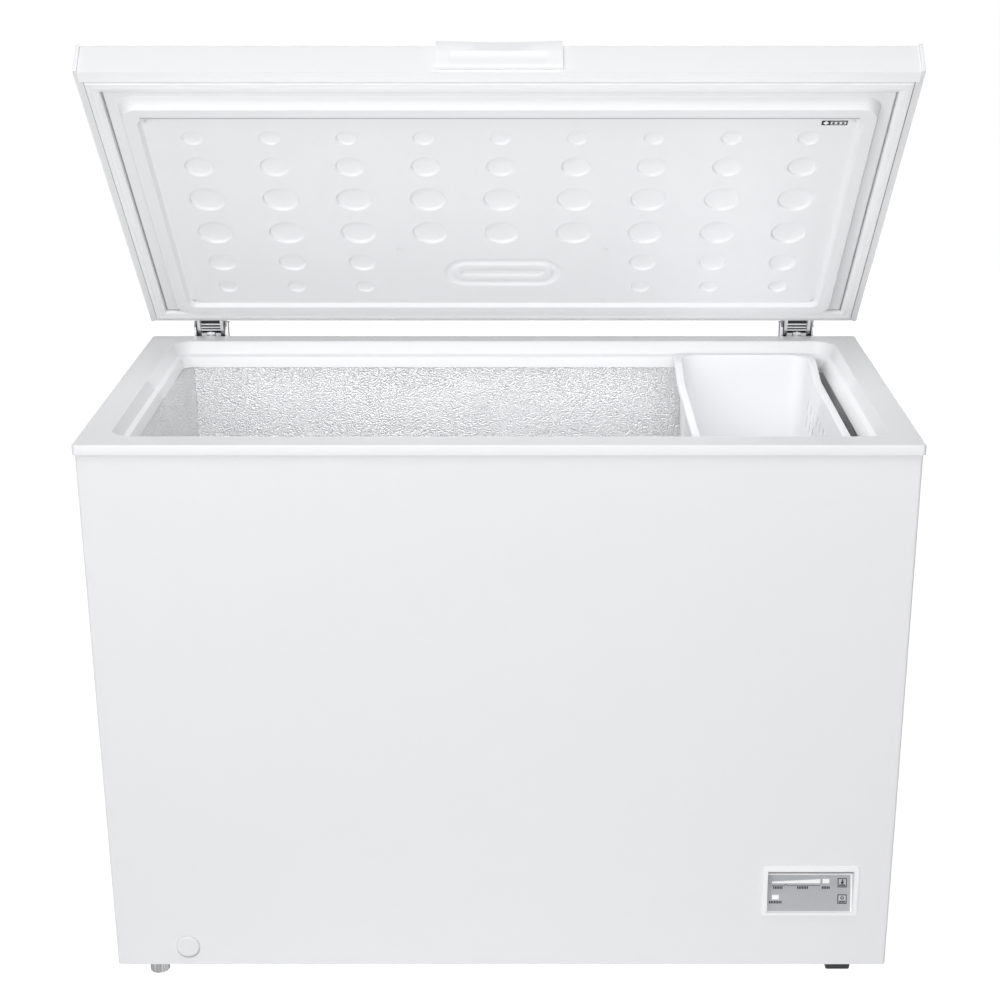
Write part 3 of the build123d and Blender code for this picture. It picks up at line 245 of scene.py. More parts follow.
def embossed(name):
    """Bright sheet metal covered in pebbles."""
    material, tree = new_material(name)
    place = object_place(tree)
    wobble = noise(tree, place, WOBBLE_SCALE, 1.0, "Color")
    push = {0: wobble, 1: WOBBLE_REACH, 2: place}
    moved = Wire.node(tree, "ShaderNodeVectorMath", {"operation": "MULTIPLY_ADD"}, push)
    pebbles = {"Vector": moved, "Scale": PEBBLE_SCALE, "Smoothness": PEBBLE_SMOOTH}
    height = 1.0 - Wire.node(tree, "ShaderNodeTexVoronoi", {"feature": "SMOOTH_F1"}, pebbles)
    slow = noise(tree, place, 9.0)
    # Pebble tops are painted lighter as a painted glint; the slow noise is a random drift of tone.
    drift_and_glint = slow * 0.3 + height * 0.9 - 0.2
    surface(tree, {
        "Base Color": between(tree, drift_and_glint, (0.66, 0.663, 0.672, 1.0), (1.0, 1.0, 1.0, 1.0)),
        "Metallic": 0.7,
        "Roughness": slow * 0.10 + 0.28,
        "Normal": bump(tree, height, PEBBLE_HEIGHT, 1.0),
    })
    return material


pebbled_aluminium = embossed("pebbled_aluminium")
print("the tub's metal is", pebbled_aluminium.name)

# %% [markdown]
# Sizes are in millimetres in the drawing's own frame, where the rim's middle is near y = 0, and the
# lid's pieces are drawn closed. Two small functions bring points into the model's frame: one swings the
# lid open about the hinge pins, and one turns millimetres into metres and moves the middle of the depth
# to y = 0.

# %% From drawing to model
DEPTH_SHIFT = -20.1
PIVOT_Y, PIVOT_Z = 311.2, 817.3
LID_ANGLE = math.radians(47.04)


def swing(point):
    """A point of the closed lid, with the lid propped open."""
    x, y, z = point
    dy, dz = y - PIVOT_Y, z - PIVOT_Z
    c, s = math.cos(LID_ANGLE), math.sin(LID_ANGLE)
    return (x, PIVOT_Y + dy * c + dz * s, PIVOT_Z - dy * s + dz * c)


def metres(point):
    """A drawing point in the model's frame."""
    return (point[0] / 1000, (point[1] + DEPTH_SHIFT) / 1000, point[2] / 1000)


print("depth shift", DEPTH_SHIFT, "mm, lid open by", round(math.degrees(LID_ANGLE), 2), "degrees")

# %% [markdown]
# A piece is a mesh that rides on one body of the model, so it moves with that body's joint. Where a
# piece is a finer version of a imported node, it stands for that node. Edges sharper than a set angle stay
# crisp, and the rest are shaded smooth.

# %% Making a piece
CRISP_ANGLE = 28.0


def solid(name, points, faces, lid=False):
    """An object from drawing points, with its faces turned outwards."""
    mesh = bpy.data.meshes.new(name)
    mesh.from_pydata([metres(swing(p) if lid else p) for p in points], [], faces)
    mesh.validate()
    work = bmesh.new()
    work.from_mesh(mesh)
    bmesh.ops.recalc_face_normals(work, faces=work.faces)
    work.to_mesh(mesh)
    work.free()
    made = bpy.data.objects.new(name, mesh)
    bpy.context.scene.collection.objects.link(made)
    return made


def cut_away(made, points, faces):
    """Cut a shape out of an object and keep the result as its mesh."""
    tool = solid("cutting_tool", points, faces)
    step = made.modifiers.new("cut", "BOOLEAN")
    step.operation = "DIFFERENCE"
    step.solver = "EXACT"
    step.object = tool
    seen = made.evaluated_get(bpy.context.evaluated_depsgraph_get())
    made.data = bpy.data.meshes.new_from_object(seen)
    made.modifiers.clear()
    bpy.data.objects.remove(tool)


def piece(name, points, faces, body, material, stands_for=(), lid=False, sharp=CRISP_ANGLE, cut=None):
    """A mesh from drawing points that rides on a body and may stand for coarse nodes."""
    made = solid(name, points, faces, lid)
    if cut:
        cut_away(made, *cut)
    made.data.shade_smooth()
    made.data.set_sharp_from_angle(angle=math.radians(sharp))
    made.data.materials.clear()
    made.data.materials.append(material)
    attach(made, body)
    if stands_for:
        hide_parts(*stands_for)
    return made


print("edges over", CRISP_ANGLE, "degrees stay crisp")

# %% [markdown]
# Nearly every shape here is a skin: a row of loops with the same number of points, joined by quads. A
# loop may be a rounded rectangle, and a bar is a skin of two equal loops. Several shapes can be joined
# as one mesh.

# %% Loops, skins and bars
CORNERS = ((1, 1), (-1, 1), (-1, -1), (1, -1))


def rounded_loop(half_x, half_y, middle, radius, z, steps=12):
    """Points round a rounded rectangle, from the right-hand rear corner on."""
    cx, cy = middle
    radius = max(radius, 0.01)
    points = []
    for quarter, (sx, sy) in enumerate(CORNERS):
        for k in range(steps + 1):
            turn = math.pi / 2 * (quarter + k / steps)
            x = cx + sx * (half_x - radius) + radius * math.cos(turn)
            y = cy + sy * (half_y - radius) + radius * math.sin(turn)
            points.append((x, y, z))
    return points


def skin(loops, fill_first=False, fill_last=False, closed=False):
    """Quads between loops that all have the same number of points."""
    points = [p for loop in loops for p in loop]
    count = len(loops[0])
    faces = []
    for row in range(len(loops) - (0 if closed else 1)):
        far = (row + 1) % len(loops) * count
        for k in range(count):
            after = (k + 1) % count
            faces.append((row * count + k, row * count + after, far + after, far + k))
    if fill_first:
        faces.append(tuple(reversed(range(count))))
    if fill_last:
        start = (len(loops) - 1) * count
        faces.append(tuple(range(start, start + count)))
    return points, faces


def bar(section, x0, x1):
    """A straight bar along x from its (y, z) section."""
    return skin([[(x, y, z) for y, z in section] for x in (x0, x1)], fill_first=True, fill_last=True)


def joined(shapes):
    """Several shapes as one set of points and faces."""
    points, faces = [], []
    for more, sides in shapes:
        start = len(points)
        points += more
        faces += [tuple(i + start for i in face) for face in sides]
    return points, faces


print("a rounded loop has", len(rounded_loop(2.0, 1.0, (0, 0), 0.5, 0.0)), "points")

# %% [markdown]
# A section is drawn as a path of corners, and each corner is rounded by its own radius. The round is an
# arc that touches both legs of the corner.

# %% Paths with rounded corners
def unit(start, end):
    """The direction from one point to another."""
    length = math.hypot(end[0] - start[0], end[1] - start[1])
    return ((end[0] - start[0]) / length, (end[1] - start[1]) / length)


def bend(start, corner, end, radius, steps):
    """Points along the round of one corner."""
    u, v = unit(corner, start), unit(corner, end)
    half_angle = math.acos(max(-1.0, min(1.0, u[0] * v[0] + u[1] * v[1]))) / 2
    reach, away = radius / math.tan(half_angle), radius / math.sin(half_angle)
    middle = unit((0.0, 0.0), (u[0] + v[0], u[1] + v[1]))
    cx, cy = corner[0] + middle[0] * away, corner[1] + middle[1] * away
    first = math.atan2(corner[1] + u[1] * reach - cy, corner[0] + u[0] * reach - cx)
    last = math.atan2(corner[1] + v[1] * reach - cy, corner[0] + v[0] * reach - cx)
    while last - first > math.pi:
        last -= 2 * math.pi
    while first - last > math.pi:
        last += 2 * math.pi
    turns = [first + (last - first) * k / steps for k in range(steps + 1)]
    return [(cx + radius * math.cos(t), cy + radius * math.sin(t)) for t in turns]


def soft_path(corners, radii, steps=5):
    """A polyline through corners, each rounded by its own radius."""
    path = [corners[0]]
    for before, corner, after, radius in zip(corners, corners[1:], corners[2:], radii):
        path += bend(before, corner, after, radius, steps)
    path.append(corners[-1])
    return path


print("one round has", len(bend((1.0, 0.0), (0.0, 0.0), (0.0, 1.0), 0.2, 5)), "points")

# %% [markdown]
# The rim is one moulding: a skirt over the steel, a flat land that the seal meets, a sloped collar, a
# ledge for the basket and a lip over the tub. Its section is one path of points, swept round the mouth
# as a set of rounded rectangles. Every corner of the section gets a small round, because light catches
# on those. From the ledge down, the right side stands a little further in than the left.

# %% The rim
RIM_X, RIM_Y, RIM_MIDDLE, RIM_CORNER = 550.0, 288.0, 2.0, 6.0
SKIRT_LOW, LAND_Z, LIP_LOW = 784.0, 798.0, 760.0
MOUTH_X, MOUTH_Y, MOUTH_MIDDLE, MOUTH_CORNER = 510.0, 251.0, 5.0, 30.0
LIP_INWARD, LIP_TOP, LIP_FALL = 5.0, 778.0, 12.0


def rim_loop(inset, z):
    """A loop of the rim's outside."""
    corner = max(0.6, RIM_CORNER - inset)
    return rounded_loop(RIM_X - inset, RIM_Y - inset, (0, RIM_MIDDLE), corner, z)


def mouth_loop(inset, z):
    """A loop of the mouth."""
    inward = LIP_INWARD / 2 * min(1.0, max(0.0, (LIP_TOP - z) / LIP_FALL))
    half_x, middle = MOUTH_X - inset - inward, (-inward, MOUTH_MIDDLE)
    return rounded_loop(half_x, MOUTH_Y - inset, middle, MOUTH_CORNER - inset, z)


outside = soft_path(
    [(2.5, SKIRT_LOW + 2.0), (2.5, SKIRT_LOW), (0.0, SKIRT_LOW), (0.0, LAND_Z), (20.0, LAND_Z)],
    [0.3, 0.5, 2.2],
)
inside = soft_path(
    [(-12.0, LAND_Z), (0.0, LAND_Z), (6.0, 779.0), (11.6, 775.5), (15.0, LIP_LOW), (12.5, LIP_LOW)],
    [2.0, 3.0, 3.0, 0.4],
)
rim_points, rim_faces = skin([rim_loop(i, z) for i, z in outside] + [mouth_loop(i, z) for i, z in inside])
piece("rim_moulding", rim_points, rim_faces, "cabinet", white_moulding, ["top_frame"])
print("rim:", len(rim_faces), "faces")

# %% [markdown]
# The tub's sheet is folded at its rear corners, and the fold shows as a crease where the corner's flat
# meets the back wall. Each corner piece is a narrow embossed strip, stood on end, with its top edge
# eased back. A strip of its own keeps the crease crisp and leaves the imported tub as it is.

# %% The tub's rear corners
STRIP_HEIGHTS, STRIP_TOP, STRIP_EASE = (230.0, 500.0, 758.6), 759.6, 0.6


def corner_loop(side, z, ease=0.0):
    """The corner strip's outline at one height."""
    outline = [(496.8, 150.0), (496.4, 150.5), (491.0 + ease, 205.0), (480.6 + ease, 240.4)]
    outline += [(479.6, 242.2), (496.8, 242.2)]
    return [(side * x, y, z) for x, y in outline]


for side, name in ((-1, "left"), (1, "right")):
    strip = [corner_loop(side, z) for z in STRIP_HEIGHTS] + [corner_loop(side, STRIP_TOP, STRIP_EASE)]
    piece("tub_corner_" + name, *skin(strip, fill_first=True, fill_last=True), "cabinet", pebbled_aluminium)
print("tub corners reach up to", STRIP_TOP)

# %% [markdown]
# The lid's inner skin is vacuum formed: a flat border with two grooves for the seal, a plug that drops
# into the mouth, and a shallow recess in the plug's face. Rounded loops make all of it, from the border
# inwards.

# %% The lid's border, plug and recess
LID_HALF_X, LID_HALF_Y, SHEET = 545.0, 288.0, 1.2
SEAT_Z, PLUG_Z, PANEL_Z = 803.2, 785.0, 791.0
GROOVE_Z = SEAT_Z + 2.2


def plug_loop(inset, z):
    """A loop of the plug's wall."""
    return rounded_loop(504.0 - inset, 245.0 - inset, (0, MOUTH_MIDDLE), 24.0 - inset / 2, z)


def recess_loop(inset, z):
    """A loop of the recess's wall."""
    return rounded_loop(480.5 - inset, 221.5 - inset, (0, MOUTH_MIDDLE), 14.0 - inset / 2, z)


def seal_loop(inset, z):
    """A loop of the seal, which has square corners."""
    return rounded_loop(540.5 - inset, 275.5 - inset, (0, MOUTH_MIDDLE), 0.6, z)


border_path = [
    (-0.4, SEAT_Z), (-0.3, GROOVE_Z), (1.3, GROOVE_Z), (1.4, SEAT_Z),
    (18.8, SEAT_Z), (19.0, GROOVE_Z), (21.4, GROOVE_Z), (21.6, SEAT_Z),
]
plug_path = soft_path([(-6.0, SEAT_Z), (0.0, SEAT_Z), (6.0, PLUG_Z), (17.0, PLUG_Z)], [1.0, 1.6])
recess_path = soft_path([(-6.0, PLUG_Z), (0.0, PLUG_Z), (4.5, PANEL_Z), (9.0, PANEL_Z)], [0.8, 3.0])
wall = [rounded_loop(LID_HALF_X, LID_HALF_Y - SHEET, (0, 0), 1.0, SEAT_Z)]
wall += [seal_loop(i, z) for i, z in border_path]
wall += [plug_loop(i, z) for i, z in plug_path]
wall += [recess_loop(i, z) for i, z in recess_path]
lid_shapes = [skin(wall)]
print("loops from the border to the recess:", len(wall))

# %% [markdown]
# Rows of round dishes stiffen the recess. Its floor is divided into rectangular cells. In each cell,
# rings of points run from the cell's border to the dish's centre, so every dish has a round edge without
# any cutting of meshes. A dish drops over a short edge to a step, and from there it is part of a ball.

# %% A dish in its cell
DISH_EDGE, DISH_BALL, DISH_FLAT = 1.0, 1.0, 1.2
BALL_RINGS, CELL_POINTS, DISH_TIP = 6, 14, 0.05


def square_ring(x0, x1, y0, y1):
    """Points round a rectangle, the same number on each side."""
    corners = [(x1, y0), (x1, y1), (x0, y1), (x0, y0)]
    points = []
    for (ax, ay), (bx, by) in zip(corners, corners[1:] + corners[:1]):
        for k in range(CELL_POINTS):
            points.append((ax + (bx - ax) * k / CELL_POINTS, ay + (by - ay) * k / CELL_POINTS))
    return points


def dish_profile(radius, depth):
    """(radius, rise) points from just outside a dish's edge to its centre."""
    step, flat = depth - DISH_BALL, radius - DISH_EDGE
    path = [(radius + DISH_EDGE + DISH_FLAT, 0.0), (radius + DISH_EDGE, 0.0)]
    path += [(radius + 0.5, 0.1 * step), (radius - 0.5, 0.85 * step), (flat, step)]
    ball = (flat ** 2 + DISH_BALL ** 2) / (2 * DISH_BALL)
    for k in range(1, BALL_RINGS + 1):
        r = flat * (1 - k / BALL_RINGS)
        path.append((r, depth - ball + math.sqrt(ball * ball - r * r)))
    return path


def dish(x, y, size, depth, cell):
    """A rectangular cell of the panel with one dish in it."""
    border = square_ring(*cell)
    turns = [math.atan2(py - y, px - x) for px, py in border]
    loops = [[(px, py, PANEL_Z) for px, py in border]]
    for r, rise in dish_profile(size / 2, depth):
        r = max(r, DISH_TIP)
        loops.append([(x + r * math.cos(t), y + r * math.sin(t), PANEL_Z + rise) for t in turns])
    return skin(loops, fill_last=True)


print("rings in a dish:", len(dish_profile(20.0, 3.0)))

# %% [markdown]
# Near the hinges the recess has a grooved oblong: a groove round an island that has a slot of its own.
# Its rings are slots, two straight sides with a half circle at each end. A slot's points are spread
# evenly along its length, and the cell's border takes the same number of points.

# %% The grooved oblong
OBLONG_POINTS = 120
OBLONG_RINGS = [
    (86.5, 33.5, 0.0), (85.3, 32.3, 0.7), (84.0, 31.0, 2.2), (82.5, 29.5, 2.9), (79.0, 26.0, 3.2),
    (75.5, 22.5, 2.7), (74.0, 21.0, 1.4), (72.8, 19.8, 0.3), (71.0, 18.0, 0.0), (62.5, 9.5, 0.0),
    (61.0, 8.0, 0.5), (59.5, 6.5, 1.9), (58.0, 5.0, 2.5),
]


def slot_point(d, straight, radius):
    """The place at a distance along a slot's edge, from the middle of its front side."""
    half_turn = math.pi * radius
    if d <= straight:
        return (d, -radius)
    d -= straight
    if d <= half_turn:
        turn = d / radius - math.pi / 2
        return (straight + radius * math.cos(turn), radius * math.sin(turn))
    d -= half_turn
    if d <= 2 * straight:
        return (straight - d, radius)
    d -= 2 * straight
    if d <= half_turn:
        turn = d / radius + math.pi / 2
        return (radius * math.cos(turn) - straight, radius * math.sin(turn))
    return (d - half_turn - straight, -radius)


def slot_ring(x, y, half_length, half_width, z):
    """Points round a slot shape."""
    straight = half_length - half_width
    around = 4 * straight + 2 * math.pi * half_width
    places = [slot_point(around * k / OBLONG_POINTS, straight, half_width) for k in range(OBLONG_POINTS)]
    return [(x + dx, y + dy, z) for dx, dy in places]


def oblong(x, y, cell):
    """A rectangular cell of the panel with the oblong in it."""
    x0, x1, y0, y1 = cell
    first = slot_ring(x, y, 90.0, 37.0, PANEL_Z)
    border = []
    for px, py, _ in first:
        dx, dy = px - x, py - y
        reach_x = ((x1 - x) if dx > 0 else (x - x0)) / max(abs(dx), 1e-6)
        reach_y = ((y1 - y) if dy > 0 else (y - y0)) / max(abs(dy), 1e-6)
        reach = min(reach_x, reach_y)
        border.append((x + dx * reach, y + dy * reach, PANEL_Z))
    loops = [border, first] + [slot_ring(x, y, a, b, PANEL_Z + rise) for a, b, rise in OBLONG_RINGS]
    return skin(loops, fill_last=True)


print("rings in the oblong:", len(OBLONG_RINGS) + 2)

# %% [markdown]
# Six rows of dishes stand in nine columns, small at the front and rear and large in the middle, with
# equal gaps between the rows. The oblong takes the place of the last two rows in the three middle
# columns. A fine grey line of painted shade runs along the front edge of the recess.

# %% The lid's inner skin
FLOOR_X, FLOOR_Y = 471.5, 212.5
FIELD_X, FIELD_Y, MARGIN_X, MARGIN_Y = 474.5, 215.5, 61.0, 28.0
COLUMNS, OBLONG_ROW, OBLONG_COLUMNS, OBLONG_FROM_REAR = 9, 4, (3, 4, 5), 77.0
SKIN_CRISP = 40.0
RECESS_SHADE_HALF = 475.0
row_sizes = (27.0, 39.0, 49.0, 49.0, 39.0, 27.0)
row_gap = (2 * (FIELD_Y - MARGIN_Y) - sum(row_sizes)) / (len(row_sizes) - 1)
row_middles = []
row_start = MOUTH_MIDDLE - FIELD_Y + MARGIN_Y
for size in row_sizes:
    row_middles.append(row_start + size / 2)
    row_start += size + row_gap
row_edges = [MOUTH_MIDDLE - FLOOR_Y]
for low, high, low_size, high_size in zip(row_middles, row_middles[1:], row_sizes, row_sizes[1:]):
    row_edges.append((low + low_size / 2 + high - high_size / 2) / 2)
row_edges.append(MOUTH_MIDDLE + FLOOR_Y)
pitch = 2 * (FIELD_X - MARGIN_X) / (COLUMNS - 1)
column_edges = [-FLOOR_X] + [pitch * (k + 0.5 - COLUMNS // 2) for k in range(COLUMNS - 1)] + [FLOOR_X]
for row, (y, size) in enumerate(zip(row_middles, row_sizes)):
    for column in range(COLUMNS):
        if row < OBLONG_ROW or column not in OBLONG_COLUMNS:
            cell = (*column_edges[column:column + 2], *row_edges[row:row + 2])
            lid_shapes.append(dish(pitch * (column - COLUMNS // 2), y, size, 0.06 * size + 1.9, cell))
oblong_y = MOUTH_MIDDLE + FIELD_Y - OBLONG_FROM_REAR
oblong_sides = (column_edges[OBLONG_COLUMNS[0]], column_edges[OBLONG_COLUMNS[-1] + 1])
lid_shapes.append(oblong(0.0, oblong_y, (*oblong_sides, row_edges[OBLONG_ROW], row_edges[-1])))
piece("lid_inner_skin", *joined(lid_shapes), "lid", lid_moulding, ["lid_liner"], lid=True, sharp=SKIN_CRISP)
# A thin grey bar along the recess's front edge is painted shade.
recess_shade_section = [
    (-218.4, 785.3), (-218.4, 784.9), (-218.1, 784.8), (-216.6, 784.8), (-216.3, 785.0), (-216.3, 785.3),
]
piece("recess_shade_line", *bar(recess_shade_section, -RECESS_SHADE_HALF, RECESS_SHADE_HALF), "lid", soft_shade_grey, lid=True)
print("dish rows at", [round(y, 1) for y in row_middles], "oblong at", oblong_y)

# %% [markdown]
# A soft seal runs round the lid's underside between the two grooves of the inner skin. Its section has
# an outer bulb, a narrow groove and a flatter inner bulb, and it is swept round as the rim was. A narrow
# grey strip in each groove of the border is painted shade and shows as a fine dark line. In front of the
# seal the steel skin ends in a folded hem, which is one long bar with a small groove along it. The hem's
# white is the skin's enamel painted lighter, as painted light.

# %% The seal and the hem
SHADE_LINE_LOW, SHADE_LINE_HIGH, SHADE_LINE_WIDTH = 802.9, 805.0, 1.1
HEM_HALF = 544.8
seal_section = (
    (1.2, -0.5), (1.2, 2.4), (1.6, 3.9), (2.6, 4.8), (7.2, 5.0), (7.9, 4.0),
    (8.5, 4.0), (9.2, 4.9), (15.4, 4.6), (17.0, 3.9), (18.2, 2.4), (18.6, -0.5),
)
seal = skin([seal_loop(inset, SEAT_Z - drop) for inset, drop in seal_section], closed=True)
piece("seal_moulding", *seal, "lid", soft_seal, ["lid_gasket"], lid=True)
# Grey strips in the border's grooves are painted shade.
for name, start, material in (("seal_outer_gap", 0.0, deep_shade_grey), ("seal_inner_gap", 19.4, soft_shade_grey)):
    end = start + SHADE_LINE_WIDTH
    corners = ((start, SHADE_LINE_HIGH), (start, SHADE_LINE_LOW), (end, SHADE_LINE_LOW), (end, SHADE_LINE_HIGH))
    strip = skin([seal_loop(inset, z) for inset, z in corners], closed=True)
    piece(name, *strip, "lid", material, lid=True)
hem_section = (
    (-287.9, 803.0), (-287.9, 802.4), (-287.5, 801.9), (-279.3, 800.6), (-278.7, 801.2), (-278.1, 801.2),
    (-277.5, 800.9), (-271.1, 799.9), (-270.7, 800.4), (-270.7, 803.0),
)
# The hem's lighter enamel is painted light.
piece("front_hem", *bar(hem_section, -HEM_HALF, HEM_HALF), "lid", hem_lit_enamel, lid=True)
print("seal section:", len(seal_section), "points; hem section:", len(hem_section), "points")

# %% [markdown]
# The lid's steel skin wraps over the front, the top and the back in one sheet with tight bends. It is
# one bar along x with a thin C-shaped section, because a sheet bent one way only has the same section
# all along. A moulded end closes each side and stands two millimetres proud, and a thin flange on it
# runs beside the seal.

# %% The lid's shell and ends
LID_LOW, LID_HIGH, END_PROUD = 802.0, 847.0, 2.0
HEM_BACK, BACK_FOLD = -270.9, 280.5
FLANGE_IN, FLANGE_OUT, FLANGE_FRONT = 540.5, 545.2, -270.5


def lid_outline(half_y, high, radius):
    """The lid's side view from its low front corner over the top to its low back corner."""
    front = soft_path([(-half_y, LID_LOW), (-half_y, high), (0.0, high)], [radius], steps=6)[:-1]
    return front + [(-y, z) for y, z in reversed(front)]


inner_y, inner_z = LID_HALF_Y - SHEET, LID_HIGH - SHEET
shell_section = [(HEM_BACK, LID_LOW)] + lid_outline(LID_HALF_Y, LID_HIGH, 2.2) + [(BACK_FOLD, LID_LOW)]
shell_section += [(BACK_FOLD, SEAT_Z), (inner_y, SEAT_Z), (inner_y, inner_z)]
shell_section += [(-inner_y, inner_z), (-inner_y, SEAT_Z), (HEM_BACK, SEAT_Z)]
shell = bar(shell_section, -LID_HALF_X, LID_HALF_X)
piece("lid_shell", *shell, "lid", white_enamel, ["lid_skin"], lid=True)
end_plan = lid_outline(LID_HALF_Y + END_PROUD, LID_HIGH + END_PROUD, 3.0)
end_plan_small = [(y * 0.9972, LID_LOW + 0.5 + (z - LID_LOW) * 0.978) for y, z in end_plan]
end_rings = [(LID_HALF_X, end_plan), (549.4, end_plan), (550.0, end_plan_small)]
flange = [(FLANGE_FRONT, LID_LOW), (BACK_FOLD, LID_LOW), (BACK_FOLD, SEAT_Z), (FLANGE_FRONT, SEAT_Z)]
for side, name in ((-1, "left"), (1, "right")):
    loops = [[(side * x, y, z) for y, z in plan] for x, plan in end_rings]
    end = joined([
        skin(loops, fill_first=True, fill_last=True),
        bar(flange, *sorted((side * FLANGE_IN, side * FLANGE_OUT))),
    ])
    piece("lid_end_" + name, *end, "lid", white_moulding, ["lid_end_cap_" + name], lid=True)
print("lid shell section:", len(shell_section), "points")

# %% [markdown]
# The handle is a moulding over the lid's front edge with a long, very shallow scoop for the fingers. It
# is drawn as a row of closed sections along x. In the middle its top dips a little, and between the
# scoop's ends the front is pushed in by a sine curve. The scoop fades out over a few millimetres at its
# short ends.

# %% The handle
HANDLE_HALF, HANDLE_FRONT, HANDLE_ROOT, HANDLE_TOP = 82.5, -293.0, -287.0, 852.0
SCOOP_HALF, SCOOP_LOW, SCOOP_DEPTH, SCOOP_FADE, SCOOP_STEPS = 64.6, 813.0, 0.9, 3.5, 12
RIDGE_Z, RIDGE_ROUND = 835.5, 0.6


def handle_section(x):
    """Closed (x, y, z) section of the handle."""
    dip = 1.0 - (x / HANDLE_HALF) ** 2
    top = HANDLE_TOP - 2.2 * dip
    ridge = RIDGE_Z - 1.3 * dip
    scoop_high = ridge - RIDGE_ROUND
    fade = min(1.0, max(0.0, (SCOOP_HALF - abs(x)) / SCOOP_FADE))
    depth = SCOOP_DEPTH * math.sin(math.pi / 2 * fade)
    path = [(HANDLE_ROOT, 806.2), (-289.0, 806.3), (-291.2, 807.0), (-292.6, 808.4), (HANDLE_FRONT, 810.4)]
    path.append((HANDLE_FRONT, SCOOP_LOW))
    for k in range(1, SCOOP_STEPS):
        share = k / SCOOP_STEPS
        y = HANDLE_FRONT + depth * math.sin(math.pi * share)
        path.append((y, SCOOP_LOW + (scoop_high - SCOOP_LOW) * share))
    path += [(HANDLE_FRONT, scoop_high), (-292.9, ridge), (-292.5, ridge + 0.7), (-292.1, top - 1.9)]
    path += [(-291.4, top - 0.6), (-290.0, top), (-266.5, 850.6 - 1.2 * dip), (-262.2, 849.6 - 0.8 * dip)]
    path += [(-261.2, 848.6), (-261.2, 847.2), (HANDLE_ROOT, 847.2)]
    return [(x, y, z) for y, z in path]


ends = [HANDLE_HALF, 80.0, 72.0, 66.0, 64.6, 63.8, 62.6, 61.2, 59.6, 57.6]
stations = [-x for x in ends] + [-54.0 + 12.0 * k for k in range(10)] + ends[::-1]
handle = skin([handle_section(x) for x in stations], fill_first=True, fill_last=True)
piece("handle_shell", *handle, "lid", handle_moulding, ["lid_handle"], lid=True)
print("handle:", len(stations), "sections")

# %% [markdown]
# The basket is one thin moulding. Its long rims dip in the middle, so the loops that make it are rounded
# rectangles whose height depends on how far a point is from the middle. Each row of the tables below is
# half the width, half the length and the corner's radius, then the height above the floor or the drop
# from the top.

# %% The basket's loops
BASKET_X, BASKET_TOP, BASKET_LOW = 370.25, 781.0, 576.0
DIP_DEPTH, DIP_HALF, DIP_END = 17.5, 135.0, 210.0
CORNER_STEPS, SIDE_STEPS = 8, 30


def basket_top(y):
    """Height of the basket's top edge at a place along its length."""
    share = (abs(y) - DIP_HALF) / (DIP_END - DIP_HALF)
    share = min(1.0, max(0.0, share))
    return BASKET_TOP - DIP_DEPTH * (1.0 + math.cos(math.pi * share)) / 2


def basket_loop(half_x, half_y, radius, drop=None, z=None):
    """A loop below the dipped top edge by a drop, or level at z."""
    rounds = rounded_loop(half_x, half_y, (0, 0), radius, 0.0, CORNER_STEPS)
    points = []
    for k, (x, y, _) in enumerate(rounds):
        points.append((x, y))
        if k % (CORNER_STEPS + 1) == CORNER_STEPS:
            end_x, end_y, _ = rounds[(k + 1) % len(rounds)]
            shares = [step / SIDE_STEPS for step in range(1, SIDE_STEPS)]
            points += [(x + (end_x - x) * share, y + (end_y - y) * share) for share in shares]
    heights = [z if drop is None else basket_top(y) - drop for _, y in points]
    return [(BASKET_X + x, MOUTH_MIDDLE + y, height) for (x, y), height in zip(points, heights)]


outer_low = [(86.0, 217.0, 18.0, 0.0), (91.6, 222.4, 21.0, 1.6), (93.25, 224.0, 22.0, 7.0)]
rolled_rim = [
    (99.6, 233.0, 24.0, 8.0), (108.0, 243.0, 12.0, 8.0), (108.75, 243.5, 12.0, 7.2),
    (108.75, 243.5, 12.0, 3.0), (108.3, 243.1, 11.8, 1.3), (107.2, 242.3, 11.4, 0.3),
    (105.8, 241.3, 11.0, 0.0), (99.8, 232.9, 22.0, 0.0), (98.2, 231.6, 22.8, 0.4),
    (97.2, 230.8, 23.6, 1.5), (96.8, 230.5, 24.0, 3.2),
]
inner_low = [(90.8, 223.7, 24.0, 16.0), (89.2, 222.2, 22.0, 6.5), (86.0, 218.0, 18.0, 2.5)]
basket_loops = [basket_loop(*size, z=BASKET_LOW + rise) for *size, rise in outer_low]
basket_loops += [basket_loop(*size, drop=drop) for *size, drop in rolled_rim]
basket_loops += [basket_loop(*size, z=BASKET_LOW + rise) for *size, rise in inner_low]
print("basket:", len(basket_loops), "loops of", len(basket_loops[0]), "points")

# %% [markdown]
# Two rows of leaning slits let cold air through the basket's long walls. Holes don't fit a skin of
# loops, so they are cut with a Boolean, and the result becomes the basket's own mesh.

# %% The basket and its slits
SLIT_PITCH, SLIT_FIRST, SLIT_LEAN, SLIT_WIDTH, SLIT_REACH = 30.4, 172.0, 8.5, 3.8, 9.0
SLIT_COLUMNS, SLIT_ROWS = 12, ((727.0, 707.0), (701.0, 681.0))
WALL_OFFSET = 96.0
slits = []
for wall_x in (BASKET_X - WALL_OFFSET, BASKET_X + WALL_OFFSET):
    for column in range(SLIT_COLUMNS):
        for high, low in SLIT_ROWS:
            y = SLIT_FIRST - SLIT_PITCH * column
            top_edge = [(y, high), (y + SLIT_WIDTH, high)]
            low_edge = [(y + SLIT_WIDTH + SLIT_LEAN, low), (y + SLIT_LEAN, low)]
            slits.append(bar(top_edge + low_edge, wall_x - SLIT_REACH, wall_x + SLIT_REACH))
basket_skin = skin(basket_loops, fill_first=True, fill_last=True)
basket = piece("basket_moulding", *basket_skin, "basket", basket_white, ["basket"], cut=joined(slits))
print("basket:", len(basket.data.polygons), "faces after", len(slits), "slits")

